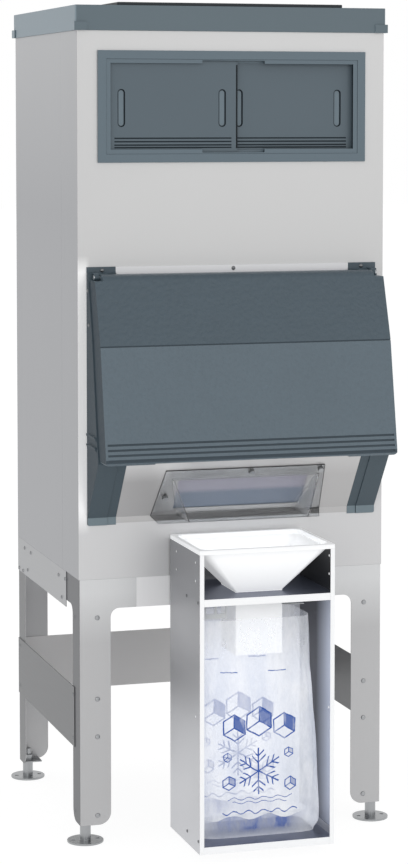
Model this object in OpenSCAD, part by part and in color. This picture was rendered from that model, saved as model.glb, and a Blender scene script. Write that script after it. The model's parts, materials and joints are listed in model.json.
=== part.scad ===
// Ice storage bin on a four-legged stand, with a bagging cabinet that hangs on its front.
// X runs to the right seen from the front, Y runs from the front to the back, Z runs up from the floor.

/* [Cabinet] */
// Width of the cabinet
cabinet_w = 762; // [740:1:820]
// Depth of the cabinet
cabinet_d = 655; // [600:1:760]
// Height of the sheet-metal cabinet
cabinet_h = 1348; // [1330:1:1420]
// Thickness of the cabinet's sheet metal
sheet_t = 1.5; // [1:0.1:2]
// Width of the front panel's folded returns along the sides
front_return = 160; // [100:1:200]
// Gap at the seams between the panels
seam_gap = 0.6; // [0.3:0.1:2]
// Insulated thickness of the tank's walls
wall_t = 50; // [46:1:60]
// Thickness of the tank's own plastic wall
liner_t = 3; // [2:0.5:4]
// Height of the tank's floor above the stand, at the front
floor_rise = 167; // [160:1:200]
// Extra height of the tank's floor at the back
floor_slope = 100; // [60:1:140]

/* [Cover] */
// Height of the plastic cover's skirt, its top included
cover_h = 59; // [45:1:75]
// Thickness of the cover
cover_t = 4; // [3:0.5:6]
// Clearance between the cover's skirt and the cabinet
cover_gap = 0.3; // [0.2:0.1:1]
// Radius of the cover's upright corners
cover_r = 8; // [6:1:12]
// Height of the raised seat on the cover
curb_h = 8; // [4:1:14]
// Width of the raised seat
curb_w = 560; // [500:1:600]
// Distance of the raised seat from the cabinet's front and back
curb_inset = 10; // [6:1:30]
// Width of the opening that the ice drops through
drop_w = 410; // [300:1:480]
// Length of that opening from front to back
drop_l = 310; // [200:1:400]
// Distance of that opening from the cabinet's front
drop_y = 145; // [110:1:180]
// Length of a corner clip along each side
clip_l = 28; // [20:1:40]
// Height of a corner clip
clip_h = 20; // [14:1:30]
// Thickness of a corner clip
clip_t = 3.5; // [2:0.5:5]

/* [Stand] */
// Height of the stand
stand_h = 633; // [600:1:660]
// Thickness of the stand's sheet metal
stand_t = 2; // [1.5:0.5:3]
// Width of a leg's front flange
leg_w = 76; // [70:1:90]
// Width of a leg's side flange
leg_side_w = 70; // [60:1:90]
// Height of the legs' lower ends above the floor
leg_z = 42; // [40:1:44]
// Width of the gusset at a leg's top
gusset_w = 139; // [120:1:160]
// Height of the front and back aprons
apron_h = 71; // [60:1:84]
// Radius of the fillet under a gusset
gusset_r = 21; // [10:1:30]
// Radius of a leg's rounded lower corner
leg_corner_r = 30; // [10:1:40]
// Height of the side aprons
side_apron_h = 87; // [74:1:100]
// Distance of a side apron's end from the cabinet's front
side_apron_y = 128.5; // [100:0.5:150]
// Height of the lower bracing panels
brace_h = 145; // [100:1:160]
// Height of the lower panels' bottom edge above the floor
brace_z = 222; // [180:1:260]
// Distance of a lower side panel's end from the cabinet's front
brace_y = 50; // [40:1:60]
// Width of the apron's turned-in top flange
apron_flange = 28; // [20:1:40]

/* [Feet] */
// Diameter of a foot's round plate
foot_d = 87; // [70:1:100]
// Thickness of a foot's round plate
foot_t = 5; // [4:0.5:8]
// Diameter of a foot's stem
foot_stem_d = 26; // [22:1:30]
// Diameter of a foot's stud
foot_stud_d = 16; // [12:1:20]
// Distance of a foot's centre from the cabinet's faces
foot_inset = 19; // [17:0.5:24]
// Length of a foot's stud above the stem
foot_stud_l = 32; // [24:1:40]
// Distance between a foot's two anchor holes
anchor_spacing = 60; // [50:1:62]
// Diameter of an anchor hole
anchor_d = 9; // [7:0.5:11]
// Running clearance on the radius of every turning fit
turn_gap = 0.05; // [0.02:0.01:0.1]
// Gap between moving faces that do not fit into each other
free_gap = 0.3; // [0.3:0.1:0.6]

/* [Window] */
// Distance of the window frame from the cabinet's sides
window_side = 49; // [30:1:90]
// Outer height of the window frame
window_h = 262.5; // [240:0.5:290]
// Height of the window frame's lower edge above the stand
window_z = 984.5; // [950:0.5:1010]
// Width of the frame's raised outer band
window_band = 20; // [14:1:26]
// How far the frame stands out from the cabinet
window_proud = 6; // [4:0.5:9]
// Width of the frame's inner lip that covers the doors' edges
window_lip = 11; // [9:0.5:14]
// Half the length of the cut in the lips where the doors lift out
lip_cut = 77; // [50:1:100]
// Thickness of a sliding door
pane_t = 7; // [5:0.5:9]
// Overlap of the two doors at the middle
pane_overlap = 24; // [16:1:40]
// Wall thickness of the frame's tracks
track_t = 3; // [2:0.5:4]
// Width of a door's upright grip slot
grip_w = 18; // [12:1:24]
// Height of a door's upright grip slot
grip_h = 89; // [60:1:110]
// Depth of a door's upright grip slot
grip_depth = 4; // [2:0.5:4.5]

/* [Hood] */
// Distance of the hood's two cheeks from the cabinet's sides
hood_side = 21; // [18:1:31]
// Width of one cheek
cheek_w = 70; // [60:1:80]
// Width of a cheek's set-back inner band
cheek_band = 22; // [16:1:30]
// Wall thickness of cheeks and main door
hood_t = 4; // [3:0.5:5]
// Distance of the main door's ends from the cheeks' outer faces
door_side = 3; // [2:0.5:10]
// Angle of the sill above level
sill_angle = 54; // [50:1:58]
// Length of the sill along its slope
sill_l = 174.3; // [165:0.1:180]
// Diameter of a hinge pin
hinge_pin_d = 8; // [6:0.5:10]
// Width of the notch at each end of the door's top edge
notch_w = 22; // [18:1:28]

/* [Ice gates] */
// Thickness of the upright ice gate
gate_t = 3; // [2:0.5:4]
// Height of the upright ice gate
gate_h = 320; // [240:1:360]
// Width of the opening in the sill
port_w = 320; // [240:1:328]
// Length of the opening in the sill along its slope
port_l = 94; // [60:1:96]

/* [Chute] */
// Wall thickness of the clear chute
chute_t = 3; // [2:0.5:4]
// Distance of the chute's middle from the cabinet's middle
chute_x = 6; // [0:1:10]
// Width of the chute at its top
chute_top_w = 362; // [340:1:380]
// Width of the chute at its bottom
chute_bottom_w = 298; // [280:1:320]
// Diameter of a thumb screw's head
thumb_d = 14; // [12:1:16]
// Diameter of a thumb screw's shank
thumb_shank_d = 5; // [4:0.5:6]

/* [Bagging cabinet] */
// Width of the bagging cabinet
bagger_w = 328; // [320:1:360]
// Depth of the bagging cabinet
bagger_d = 246; // [230:1:270]
// Height of the bagging cabinet's lower edge above the floor
bagger_z = 25; // [15:1:40]
// Height of the bagging cabinet's upper edge above the stand
bagger_rise = 90; // [70:1:97]
// Gap between the cabinet's front and the bagging cabinet
bagger_gap = 6; // [6:0.5:10]
// Width of the walls' front flanges
bagger_flange = 9; // [8:1:16]
// Height of the lips under the floor and the shelf
bagger_lip = 17; // [12:1:24]
// Distance of the shelf's top below the bagging cabinet's upper edge
shelf_drop = 103; // [90:1:140]
// Diameter of the small holes in the walls
wall_hole_d = 7; // [4:1:10]

/* [Funnel and bag] */
// Wall thickness of the funnel
funnel_t = 3; // [2:0.5:4]
// Height of the funnel's rim
rim_h = 10; // [6:1:14]
// Width of the funnel's square pipe
pipe_w = 114; // [100:1:124]
// Length of the pipe below the shelf
pipe_l = 147; // [100:1:170]
// Width of the funnel's mouth
mouth_w = 310; // [290:1:316]
// Length of the funnel's mouth from front to back
mouth_l = 220; // [200:1:226]
// Radius of the mouth's corners
mouth_r = 24; // [10:1:30]
// Wall thickness of the film bag's solid
bag_t = 2; // [1.5:0.5:3]
// Distance of the film bag's upper edge below the shelf
bag_drop = 60; // [56:1:100]

/* [Drain] */
// Outer diameter of the drain pipe
drain_d = 33.4; // [26:0.1:42]
// Bore of the drain pipe
drain_bore = 25.4; // [18:0.1:26]
// Outer diameter of the drain pipe's threaded upper part
drain_thread_d = 38; // [36:0.1:46]
// Distance of the drain from the cabinet's front
drain_y = 80; // [75:1:120]
// Length of the drain pipe below its lock nut
drain_l = 28; // [20:1:40]

/* [Hidden] */
$fn = 48;

// Main planes of the cabinet and the stand
half_w = cabinet_w / 2;
cabinet_top = stand_h + cabinet_h;
cover_top = cabinet_top + cover_t;
cover_z = cover_top - cover_h;
leg_x = half_w - stand_t;
gusset_z = stand_h - apron_h;
foot_r = foot_d / 2;
foot_x = half_w - foot_inset;
socket_rise = 2;
socket_z = leg_z + socket_rise;
foot_top = socket_z - free_gap;
socket_t = 3;
socket_w = 46;
socket_nut_r = 14;
socket_nut_h = 13;
splice_lap = 40;
splice_reach = 50;
splice_margin = 8;
leg_rivet_x = leg_x - 43;
leg_rivet_y = leg_side_w - 14;
low_rivet_z = leg_z + 23;
leg_rivets = [low_rivet_z, brace_z + 33, brace_z + brace_h - 21, stand_h - 92];
front_rivets = [[6.5, 20], [74.5, 22], [42.5, 71]];
rear_rivets = [[148, 19], [78, 18], [113, 69], [59, 80], [15, 80]];
brace_rivet_y = [brace_y + 12, cabinet_d - 14];
brace_rivet_z = [brace_z + 20, brace_z + brace_h - 20];
top_rivet_z = stand_h - 98;
rivet_r = 5;
rivet_h = 2.5;
large_rivet_r = 6;
large_rivet_h = 3;
small_rivet_h = 2;
bagger_front = bagger_gap + bagger_d;
row_y = (bagger_front - cabinet_d - foot_r + foot_inset) / 2;

// The tank
tank_x = half_w - wall_t;
tank_y0 = wall_t;
tank_y1 = cabinet_d - wall_t;
tank_z0 = stand_h + floor_rise;
tank_z1 = cabinet_top - wall_t - 1;
cheek_x = half_w - hood_side;
hood_hole_x = cheek_x - cheek_w;
hood_hole_low = 157;
hood_hole_high = 712;
hood_z0 = stand_h + hood_hole_low;
hood_z1 = stand_h + hood_hole_high;

drain_nut_h = 12;
drain_nut_wall = 9;
tank_slack = 20;

// The window
frame_x = half_w - window_side;
frame_z0 = stand_h + window_z;
frame_z1 = frame_z0 + window_h;
band_x = frame_x - window_band;
band_z0 = frame_z0 + window_band;
band_z1 = frame_z1 - window_band;
track_x = band_x - window_lip + track_t + 1;
track_z0 = band_z0 + track_t + 0.5;
track_z1 = band_z1 - track_t;
pane_gap = 0.5;
rib_t = 1.5;
rib_h = 6;
band_step = 1.5;
front_lip = 2;
pane_y_left = front_lip + pane_gap;
pane_y_right = pane_y_left + pane_t + rib_t + 2 * pane_gap;
sleeve_d = pane_y_right + pane_t + pane_gap + front_lip;
pane_w = track_x + pane_overlap / 2 - pane_gap;
pane_z0 = track_z0 + free_gap;
pane_h = track_z1 - pane_gap - pane_z0;
view_x = band_x - window_lip;
view_z0 = band_z0 + window_lip;
view_z1 = band_z1 - window_lip + 1;
hole_x = track_x + track_t + pane_gap;
hole_z0 = track_z0 - track_t - pane_gap;
hole_z1 = track_z1 + track_t + pane_gap;
groove_levels = [11, 17, 25, 33];
groove_r = 1.6;
groove_end = 14;
grip_x0 = 22;
grip_x1 = pane_w - 29 - grip_w;
grip_z0 = 59.5 + grip_w / 2;
grip_z1 = grip_z0 + grip_h - grip_w;

// The hood: outlines are lists of places from the front plane and above the stand
door_x = cheek_x - door_side;
cheek_top = 724.5;
cheek_foot = 129;
sill_foot = 147;
cheek_front = [[-12, cheek_top], [-23, 686], [-52, 574], [-93, 344], [-108, 288], [-5, sill_foot],
    [-5, cheek_foot]];
cheek_step = 3;
cheek_chamfer = [4, 4];
rib_levels = [350, 326];
rib_run = [-88, -8];
rib_proud = 4.5;
rib_flat = 2;
rib_drop = 12;
cheek_outline = concat([[0, cheek_top]], cheek_front, [[0, cheek_foot]]);
cheek_hollow = concat([[0, cheek_top]], [for (i = [0 : 4]) cheek_front[i] + [cheek_step, 0]],
    [[0, sill_foot + 2 * hood_t]]);
door_rear = [[291, -109.8], [344, -95], [574, -54], [686, -25], [724, -20]];
door_bend = [-119, 562];
door_low = [-167, 305];
door_foot = 291;
door_outline = [[-20, 724], [-44, 724], [-58, 721], [-68, 712], door_bend, door_low, [-167, 297],
    [-161, door_foot], [-109.8, door_foot], [-95, 344], [-54, 574], [-25, 686]];
door_levels = concat(door_rear[0][0] + hood_t, [for (i = [1 : 3]) door_rear[i][0]],
    door_rear[4][0] - hood_t);
door_groove_levels = [303, 315, 327, 339];
door_groove_depths = [1.8, 1.8, 2.2, 2.2];
door_groove_r = 2.4;
door_groove_end = 6;
bend_groove = [1.8, 1.6];
door_corner_r = 8;
door_recess = [238, 2.5];
past_door = 200;
gasket_w = 10;
gasket_h = 8;
gasket_gap = 4;
gasket_z = [door_rear[0][0] + 7, door_rear[3][0] + 4];
pocket_h = 20;
hinge_y = -30;
hinge_rise = 717;
hinge_z = stand_h + hinge_rise;
hinge_wall = 8;
notch_x = door_x - notch_w;
knuckle_gap = 2;
knuckle_l = 12;
knuckle_x0 = notch_x + knuckle_gap;
knuckle_x1 = knuckle_x0 + knuckle_l;
knuckle_r = 6;
notch_gap = 0.7;
notch_z = hinge_z - knuckle_r - notch_gap;
arm_wall = 5;
arm_z1 = hinge_z + knuckle_r + arm_wall;
arm_r = 3;
bracket_lip = [12, 1, 3];
pin_head_l = 2;
pin_head_wall = 2;
back_inset = 4;
back_t = 3;
strip_z0 = 707;
strip_z1 = 740.5;
strip_t = 4;
strip_lip = 16;
screw_r = 5;
screw_h = 3;
side_screw_r = 4.5;
side_screw_h = 2.5;
side_screws = [[-14, 686], [-24, 606]];
screw_end = 37;
screw_drop = 8;

// The sill lies between the cheeks, from its foot up to the door's lower edge
sill_y = -sheet_t;
sill_z = stand_h + sill_foot;
sill_end = [sill_y - sill_l * cos(sill_angle), sill_foot + sill_l * sin(sill_angle)];
sill_path = [[sill_y, sill_foot - 14], [sill_y, sill_foot], sill_end, sill_end + [7, 34]];
port_s0 = 20;
gate_lap = 8;
port_lap = 6;
chute_gate_s0 = port_s0 - port_lap;
chute_gate_l = port_l + 2 * port_lap;
chute_gate_gap = 1.5;
chute_gate_n = sheet_t + chute_gate_gap;
chute_gate_lip = 16;
chute_gate_grip = 30;
rail_w = 8;
rail_lap = 4.5;
rail_wall = 2;
rail_slot = 0.5;
rail_stop = 4;
gate_travel = 46;

// The upright gate holds the ice back behind the hood's opening
gate_y = 14;
gate_rise = 227;
gate_z = stand_h + gate_rise;
gate_side = 10;
gate_x = hood_hole_x - gate_side;
gate_lip = 18;
gate_lip_side = 40;
gate_slot = 0.4;
track_wall = 3;
track_lap = 4;
track_reach = 160;

// The clear chute
chute_top = 244;
chute_bottom = 145;
chute_front_top = -94;
chute_front_bottom = -112;
chute_flange_s1 = 146;
chute_flange_top = 197;
chute_flange_bottom = 212;
chute_lip_z = 126;
chute_lip_side = 20;
chute_lip_edge = 1;
chute_bend_gap = 0.2;
chute_cut = 12;
chute_back_gap = 1.5;
thumb_head_l = 8;
thumb_end = 0.7;
thumb_hole_gap = 0.4;
thumb_shank_l = chute_t + free_gap + sheet_t + thumb_end;
thumb_side = 187;
thumb_rise = 136.5;
thumb_left = [chute_x - thumb_side, 62];
thumb_top = [chute_x + 14, thumb_rise];
thumb_right = [chute_x + thumb_side, thumb_rise];

// The bagging cabinet
bagger_x = bagger_w / 2;
bagger_in = bagger_x - sheet_t;
bagger_top = stand_h + bagger_rise;
bagger_y0 = -bagger_front;
bagger_y1 = -bagger_gap;
bagger_floor_z = bagger_z + bagger_lip;
shelf_z = bagger_top - shelf_drop;
tray_gap = 4;
tray_rise = 20;
pipe_y = -129;
pipe_gap = 0.4;
rail_x = 140;
rail_h = 30;
rail_drop = 33;
rail_z = bagger_top - rail_drop;
rail_lip_y = -5.4;
lip_h = 16;
tongue_side = 10;
tongue_x = rail_x - tongue_side;
tongue_y = -3.45;
tongue_rise = 22;
tongue_z = rail_z + tongue_rise;
wall_holes_y = [-60, -217];
wall_hole_drops = [22, 65];
low_hole_rise = 316;
low_hole_z = bagger_z + low_hole_rise;
shelf_rivets = [-145, -238];
floor_rivets = [-149, -240];
shelf_rivet_z = shelf_z - 9;
floor_rivet_z = bagger_floor_z + 12;
bagger_rivet_r = 4;
bagger_rivet_h = 2;
hanger_y = -215;
hanger_t = 1.5;
left_hanger = [-142, -88];
left_hanger_h = 52;
hanger_windows = [-138, -112];
hanger_window_w = 20;
hanger_window_z = [-40, -18];
right_hanger = [46, 98];
right_hanger_h = 26;
right_hanger_lip = 10;
mouth_gap = 14;
rim_gap = 2;
cone_rise = 2;
pipe_r = 2;
bag_z1 = shelf_z - bag_drop;
bag_belly = 60;
bag_r = 20;
bag_top_x = [-144, 128];
bag_top_y = [-208, -50];
bag_belly_x = [-154, 156];
bag_belly_y = [-214, -44];
bag_foot_x = [-150, 152];
bag_foot_y = [-210, -48];

// Directions and offsets of an outline
function unit(v) = v / norm(v);
function left_of(v) = [-v[1], v[0]];
function corner_inset(a, b, c, t) =
    let (m = left_of(unit(b - a)) + left_of(unit(c - b))) b + m * (2 * t / (m * m));
function inset(p, t) =
    let (n = len(p)) [for (i = [0 : n - 1]) corner_inset(p[(i + n - 1) % n], p[i], p[(i + 1) % n], t)];
function end_inset(a, b, at, t) = at + t * left_of(unit(b - a));
function side_path(p, t) =
    let (n = len(p)) [for (i = [0 : n - 1])
        i == 0 ? end_inset(p[0], p[1], p[0], t)
        : i == n - 1 ? end_inset(p[n - 2], p[n - 1], p[n - 1], t)
        : corner_inset(p[i - 1], p[i], p[i + 1], t)];
function bent_strip(p, t) =
    let (q = side_path(p, t), n = len(p)) concat(p, [for (i = [n - 1 : -1 : 0]) q[i]]);
function rear_y(z) = lookup(z, door_rear);
function front_y(z) = lookup(z, [[door_low[1], door_low[0]], [door_bend[1], door_bend[0]]]);

// Moves a piece from the cabinet's front plane to the part's own origin
module in_place() {
    translate([0, row_y, 0]) children();
}

// Moves a piece of the bagging cabinet under the chute's middle
module under_chute() {
    translate([chute_x, row_y, 0]) children();
}

module box(x, y, z) {
    translate([x[0], y[0], z[0]]) cube([x[1] - x[0], y[1] - y[0], z[1] - z[0]]);
}

// An outline of depth and height, drawn out along X
module along_x(x0, x1) {
    translate([x0, 0, 0]) rotate([90, 0, 90]) linear_extrude(x1 - x0) children();
}

// An outline of width and height, drawn out along Y
module along_y(y0, y1) {
    translate([0, y1, 0]) rotate([90, 0, 0]) linear_extrude(y1 - y0) children();
}

module rect(x, z) {
    translate([x[0], z[0]]) square([x[1] - x[0], z[1] - z[0]]);
}

module above_stand() {
    translate([0, 0, stand_h]) children();
}

module on_side(side) {
    if (side < 0) mirror([1, 0, 0]) children();
    else children();
}

module at_end(rear) {
    if (rear) translate([0, cabinet_d, 0]) mirror([0, 1, 0]) children();
    else children();
}

// The sill's own plane: X across, Y up the slope, Z out of its face
module on_sill() {
    translate([0, sill_y, sill_z]) rotate([180 - sill_angle, 0, 0]) children();
}

module dome(r, h) {
    rotate_extrude($fn = 24) polygon([[0, 0], [r, 0], [r * 0.9, h * 0.5], [r * 0.55, h * 0.88], [0, h]]);
}

// One flange of a leg: a strip with a gusset at its top and a rounded lower corner
module leg_outline(w, top_w) {
    difference() {
        union() {
            rect([0, w], [leg_z, stand_h]);
            rect([0, top_w], [gusset_z, stand_h]);
            rect([w, w + gusset_r], [gusset_z - gusset_r, gusset_z]);
        }
        translate([w + gusset_r, gusset_z - gusset_r]) circle(gusset_r);
        difference() {
            rect([w - leg_corner_r, w + 1], [leg_z - 1, leg_z + leg_corner_r]);
            translate([w - leg_corner_r, leg_z + leg_corner_r]) circle(leg_corner_r);
        }
    }
}

module leg(side, rear) {
    color("#bfc0c1") in_place() on_side(side) at_end(rear) {
        along_y(0, stand_t) translate([leg_x, 0]) mirror([1, 0]) leg_outline(leg_w, gusset_w);
        along_x(leg_x - stand_t, leg_x) leg_outline(leg_side_w, gusset_w);
    }
}

module end_apron(rear) {
    lap_x = leg_x - gusset_w;
    color("#c4c5c6") in_place() at_end(rear) {
        box([-lap_x, lap_x], [0, stand_t], [gusset_z, stand_h]);
        box([-lap_x, lap_x], [stand_t, apron_flange], [stand_h - stand_t, stand_h]);
        for (side = [-1, 1]) on_side(side)
            box([lap_x - splice_lap, lap_x + splice_reach], [stand_t, 2 * stand_t],
                [gusset_z + splice_margin, stand_h - splice_margin]);
    }
}

module side_apron(side) {
    color("#b4b5b7") in_place() on_side(side)
        box([leg_x, half_w], [side_apron_y, cabinet_d], [stand_h - side_apron_h, stand_h]);
}

module lower_side_panel(side) {
    color("#a9aaac") in_place() on_side(side)
        box([leg_x, half_w], [brace_y, cabinet_d], [brace_z, brace_z + brace_h]);
}

module lower_rear_panel() {
    x = leg_x - stand_t;
    color("#9b9997") in_place()
        box([-x, x], [cabinet_d - 2 * stand_t, cabinet_d - stand_t], [brace_z, brace_z + brace_h]);
}

module foot_sockets() {
    inner = leg_x - stand_t;
    color("#a7a8aa") in_place() for (side = [-1, 1], rear = [false, true]) on_side(side) at_end(rear)
        difference() {
            union() {
                box([inner - socket_w, inner], [stand_t, stand_t + socket_w],
                    [socket_z, socket_z + socket_t]);
                translate([foot_x, foot_inset, socket_z + socket_t])
                    cylinder(r = socket_nut_r, h = socket_nut_h, $fn = 6);
            }
            translate([foot_x, foot_inset, socket_z - 1])
                cylinder(d = foot_stud_d + 2 * turn_gap, h = socket_t + socket_nut_h + 2);
        }
}

module foot(side, rear) {
    color("#8f9091") in_place() on_side(side) at_end(rear) translate([foot_x, foot_inset, 0]) {
        difference() {
            cylinder(r = foot_r, h = foot_t, $fn = 64);
            for (dx = [-1, 1]) translate([dx * anchor_spacing / 2, 0, -1])
                cylinder(d = anchor_d, h = foot_t + 2);
        }
        cylinder(d = foot_stem_d, h = foot_top);
        cylinder(d = foot_stud_d, h = foot_top + foot_stud_l);
    }
}

module side_rivet(x, y, z, h) {
    translate([x, y, z]) rotate([0, 90, 0]) dome(rivet_r, h);
}

module stand_rivets() {
    color("#77787a") in_place() for (side = [-1, 1]) on_side(side) {
        for (rear = [false, true], z = leg_rivets) at_end(rear)
            translate([leg_rivet_x, 0, z]) rotate([90, 0, 0]) dome(large_rivet_r, large_rivet_h);
        for (p = front_rivets) side_rivet(half_w, side_apron_y + p[0], stand_h - p[1], rivet_h);
        for (p = rear_rivets) side_rivet(half_w, cabinet_d - p[0], stand_h - p[1], rivet_h);
        for (y = brace_rivet_y, z = brace_rivet_z) side_rivet(half_w, y, z, rivet_h);
        for (z = [low_rivet_z, top_rivet_z]) side_rivet(leg_x, leg_rivet_y, z, small_rivet_h);
    }
}

module base_pan() {
    x = half_w - sheet_t;
    color("#bcbdbe") in_place() difference() {
        box([-x, x], [sheet_t, cabinet_d - sheet_t], [stand_h, stand_h + sheet_t]);
        translate([0, drain_y, stand_h - 1]) cylinder(d = drain_thread_d, h = sheet_t + 2);
    }
}

module front_panel() {
    color("#cfcfcf") in_place() difference() {
        union() {
            box([-half_w, half_w], [0, sheet_t], [stand_h, cabinet_top]);
            for (side = [-1, 1]) on_side(side)
                box([half_w - sheet_t, half_w], [0, front_return], [stand_h, cabinet_top]);
        }
        box([-hole_x, hole_x], [-1, sheet_t + 1], [hole_z0, hole_z1]);
        box([-hood_hole_x, hood_hole_x], [-1, sheet_t + 1], [hood_z0, hood_z1]);
    }
}

module side_panel(side) {
    color("#a5a6a8") in_place() on_side(side) box([half_w - sheet_t, half_w],
        [front_return + seam_gap, cabinet_d - sheet_t], [stand_h, cabinet_top]);
}

module back_panel() {
    color("#b0b1b2") in_place()
        box([-half_w, half_w], [cabinet_d - sheet_t, cabinet_d], [stand_h, cabinet_top]);
}

// The tank's inside, grown by t on every side
module tank_room(t) {
    along_x(-tank_x - t, tank_x + t) polygon([[tank_y0 - t, tank_z0 - t],
        [tank_y1 + t, tank_z0 + floor_slope - t], [tank_y1 + t, tank_z1 + t], [tank_y0 - t, tank_z1 + t]]);
}

// The tank's two front openings, grown by t: window and hood
module tank_sleeves(t, y0, y1) {
    box([-hole_x - t, hole_x + t], [y0, y1], [hole_z0 - t, hole_z1 + t]);
    box([-hood_hole_x - t, hood_hole_x + t], [y0, y1], [hood_z0 - t, hood_z1 + t]);
}

// The opening that the ice drops through, grown by t
module drop_sleeve(t, z0, z1) {
    box([-drop_w / 2 - t, drop_w / 2 + t], [drop_y - t, drop_y + drop_l + t], [z0, z1]);
}

module foam_insulation() {
    x = half_w - sheet_t;
    color("#e6d9a8") in_place() difference() {
        box([-x, x], [sheet_t, cabinet_d - sheet_t], [stand_h + sheet_t, cabinet_top]);
        tank_room(liner_t);
        tank_sleeves(liner_t, 0, tank_y0);
        drop_sleeve(liner_t, tank_z1, cabinet_top + 1);
        translate([0, drain_y, stand_h]) cylinder(d = drain_thread_d, h = floor_rise + liner_t);
    }
}

module liner() {
    color("#e9ebec") in_place() difference() {
        union() {
            tank_room(liner_t);
            tank_sleeves(liner_t, sheet_t, tank_y0);
            drop_sleeve(liner_t, tank_z1, cabinet_top);
        }
        tank_room(0);
        tank_sleeves(0, 0, tank_y0 + 1);
        drop_sleeve(0, tank_z1 - 1, cabinet_top + 1);
        translate([0, drain_y, stand_h]) cylinder(d = drain_thread_d, h = floor_rise + tank_slack);
    }
}

module rounded_square(x, y, r) {
    union() {
        rect([x[0] + r, x[1] - r], y);
        rect(x, [y[0] + r, y[1] - r]);
        for (cx = [x[0] + r, x[1] - r], cy = [y[0] + r, y[1] - r]) translate([cx, cy]) circle(r);
    }
}

module top_cover() {
    in_x = half_w + cover_gap;
    out = cover_gap + cover_t;
    color("#6b7a82") in_place() difference() {
        translate([0, 0, cover_z]) linear_extrude(cover_h)
            rounded_square([-half_w - out, half_w + out], [-out, cabinet_d + out], cover_r);
        box([-in_x, in_x], [-cover_gap, cabinet_d + cover_gap], [cover_z - 1, cabinet_top]);
        box([-drop_w / 2, drop_w / 2], [drop_y, drop_y + drop_l], [cabinet_top - 1, cover_top + 1]);
    }
}

module top_curb() {
    color("#63727a") in_place() difference() {
        translate([0, 0, cover_top]) linear_extrude(curb_h)
            rounded_square([-curb_w / 2, curb_w / 2], [curb_inset, cabinet_d - curb_inset], cover_r);
        box([-drop_w / 2, drop_w / 2], [drop_y, drop_y + drop_l], [cover_top - 1, cover_top + curb_h + 1]);
    }
}

module cover_clips() {
    out = cover_gap + cover_t;
    x = half_w + out;
    color("#5d6b73") in_place() for (side = [-1, 1], rear = [false, true]) on_side(side) at_end(rear)
        difference() {
            box([x - clip_l, x + clip_t], [-out - clip_t, clip_l - out], [cover_z, cover_z + clip_h]);
            translate([0, 0, cover_z - 1]) linear_extrude(clip_h + 2)
                rounded_square([-x, x], [-out, cabinet_d / 2], cover_r);
        }
}

module drain_pipe() {
    top = tank_z0 - liner_t;
    bottom = stand_h - drain_nut_h - drain_l;
    color("#d8dadb") in_place() translate([0, drain_y, bottom]) difference() {
        union() {
            cylinder(d = drain_d, h = drain_l);
            translate([0, 0, drain_l]) cylinder(d = drain_thread_d, h = top - bottom - drain_l);
        }
        translate([0, 0, -1]) cylinder(d = drain_bore, h = top - bottom + 2);
    }
}

module drain_nut() {
    color("#c2c5c7") in_place() translate([0, drain_y, stand_h - drain_nut_h]) difference() {
        cylinder(r = drain_thread_d / 2 + drain_nut_wall, h = drain_nut_h, $fn = 6);
        translate([0, 0, -1]) cylinder(d = drain_thread_d, h = drain_nut_h + 2);
    }
}

// A flat ring of width and height, with an outer and an inner rectangle
module flat_ring(outer_x, outer_z, inner_x, inner_z) {
    difference() {
        rect([-outer_x, outer_x], outer_z);
        rect([-inner_x, inner_x], inner_z);
    }
}

module window_frame() {
    view = [view_z0, view_z1];
    track = [track_z0, track_z1];
    wall_x = track_x + track_t;
    wall = [track_z0 - track_t, track_z1 + track_t];
    rib_y = pane_y_right - pane_gap - rib_t;
    color("#6b7b84") in_place() difference() {
        union() {
            along_y(-window_proud, 0) flat_ring(frame_x, [frame_z0, frame_z1], band_x, [band_z0, band_z1]);
            along_y(-window_proud + band_step, 0) flat_ring(band_x, [band_z0, band_z1], view_x, view);
            along_y(0, front_lip) flat_ring(wall_x, wall, view_x, view);
            along_y(front_lip, sleeve_d - front_lip) flat_ring(wall_x, wall, track_x, track);
            along_y(sleeve_d - front_lip, sleeve_d) flat_ring(wall_x, wall, view_x, view);
            for (z = [track_z0, track_z1 - rib_h])
                box([-track_x, track_x], [rib_y, rib_y + rib_t], [z, z + rib_h]);
        }
        box([-lip_cut, lip_cut], [-window_proud - 1, front_lip], track);
    }
}

module window_door(x0, y0) {
    color("#606d76") in_place() translate([x0, y0, pane_z0]) difference() {
        cube([pane_w, pane_t, pane_h]);
        for (x = [grip_x0, grip_x1]) {
            box([x, x + grip_w], [-1, grip_depth], [grip_z0, grip_z1]);
            for (z = [grip_z0, grip_z1])
                translate([x + grip_w / 2, -1, z]) rotate([-90, 0, 0])
                    cylinder(d = grip_w, h = grip_depth + 1);
        }
        for (z = groove_levels)
            box([groove_end, pane_w - groove_end - 1], [-1, groove_r], [z - groove_r, z + groove_r]);
    }
}

module cheek(side) {
    color("#50606a") in_place() on_side(side) above_stand() difference() {
        union() {
            along_x(hood_hole_x + cheek_band, cheek_x) polygon(cheek_outline);
            along_x(hood_hole_x, hood_hole_x + cheek_band)
                polygon([for (p = cheek_outline) [min(0, p[0] + cheek_step), p[1]]]);
            for (z = rib_levels) along_y(rib_run[0], rib_run[1]) polygon([[cheek_x, z],
                [cheek_x + rib_proud, z], [cheek_x + rib_proud, z - rib_flat], [cheek_x, z - rib_drop]]);
        }
        for (dy = [0, 10]) translate([0, dy, 0])
            along_x(hood_hole_x + hood_t, cheek_x - hood_t) polygon(inset(cheek_hollow, hood_t));
        along_y(-10, 1) polygon([[cheek_x + 1, cheek_foot - 1], [cheek_x + 1, cheek_foot + cheek_chamfer[0]],
            [cheek_x - cheek_chamfer[1], cheek_foot - 1]]);
    }
}

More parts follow.
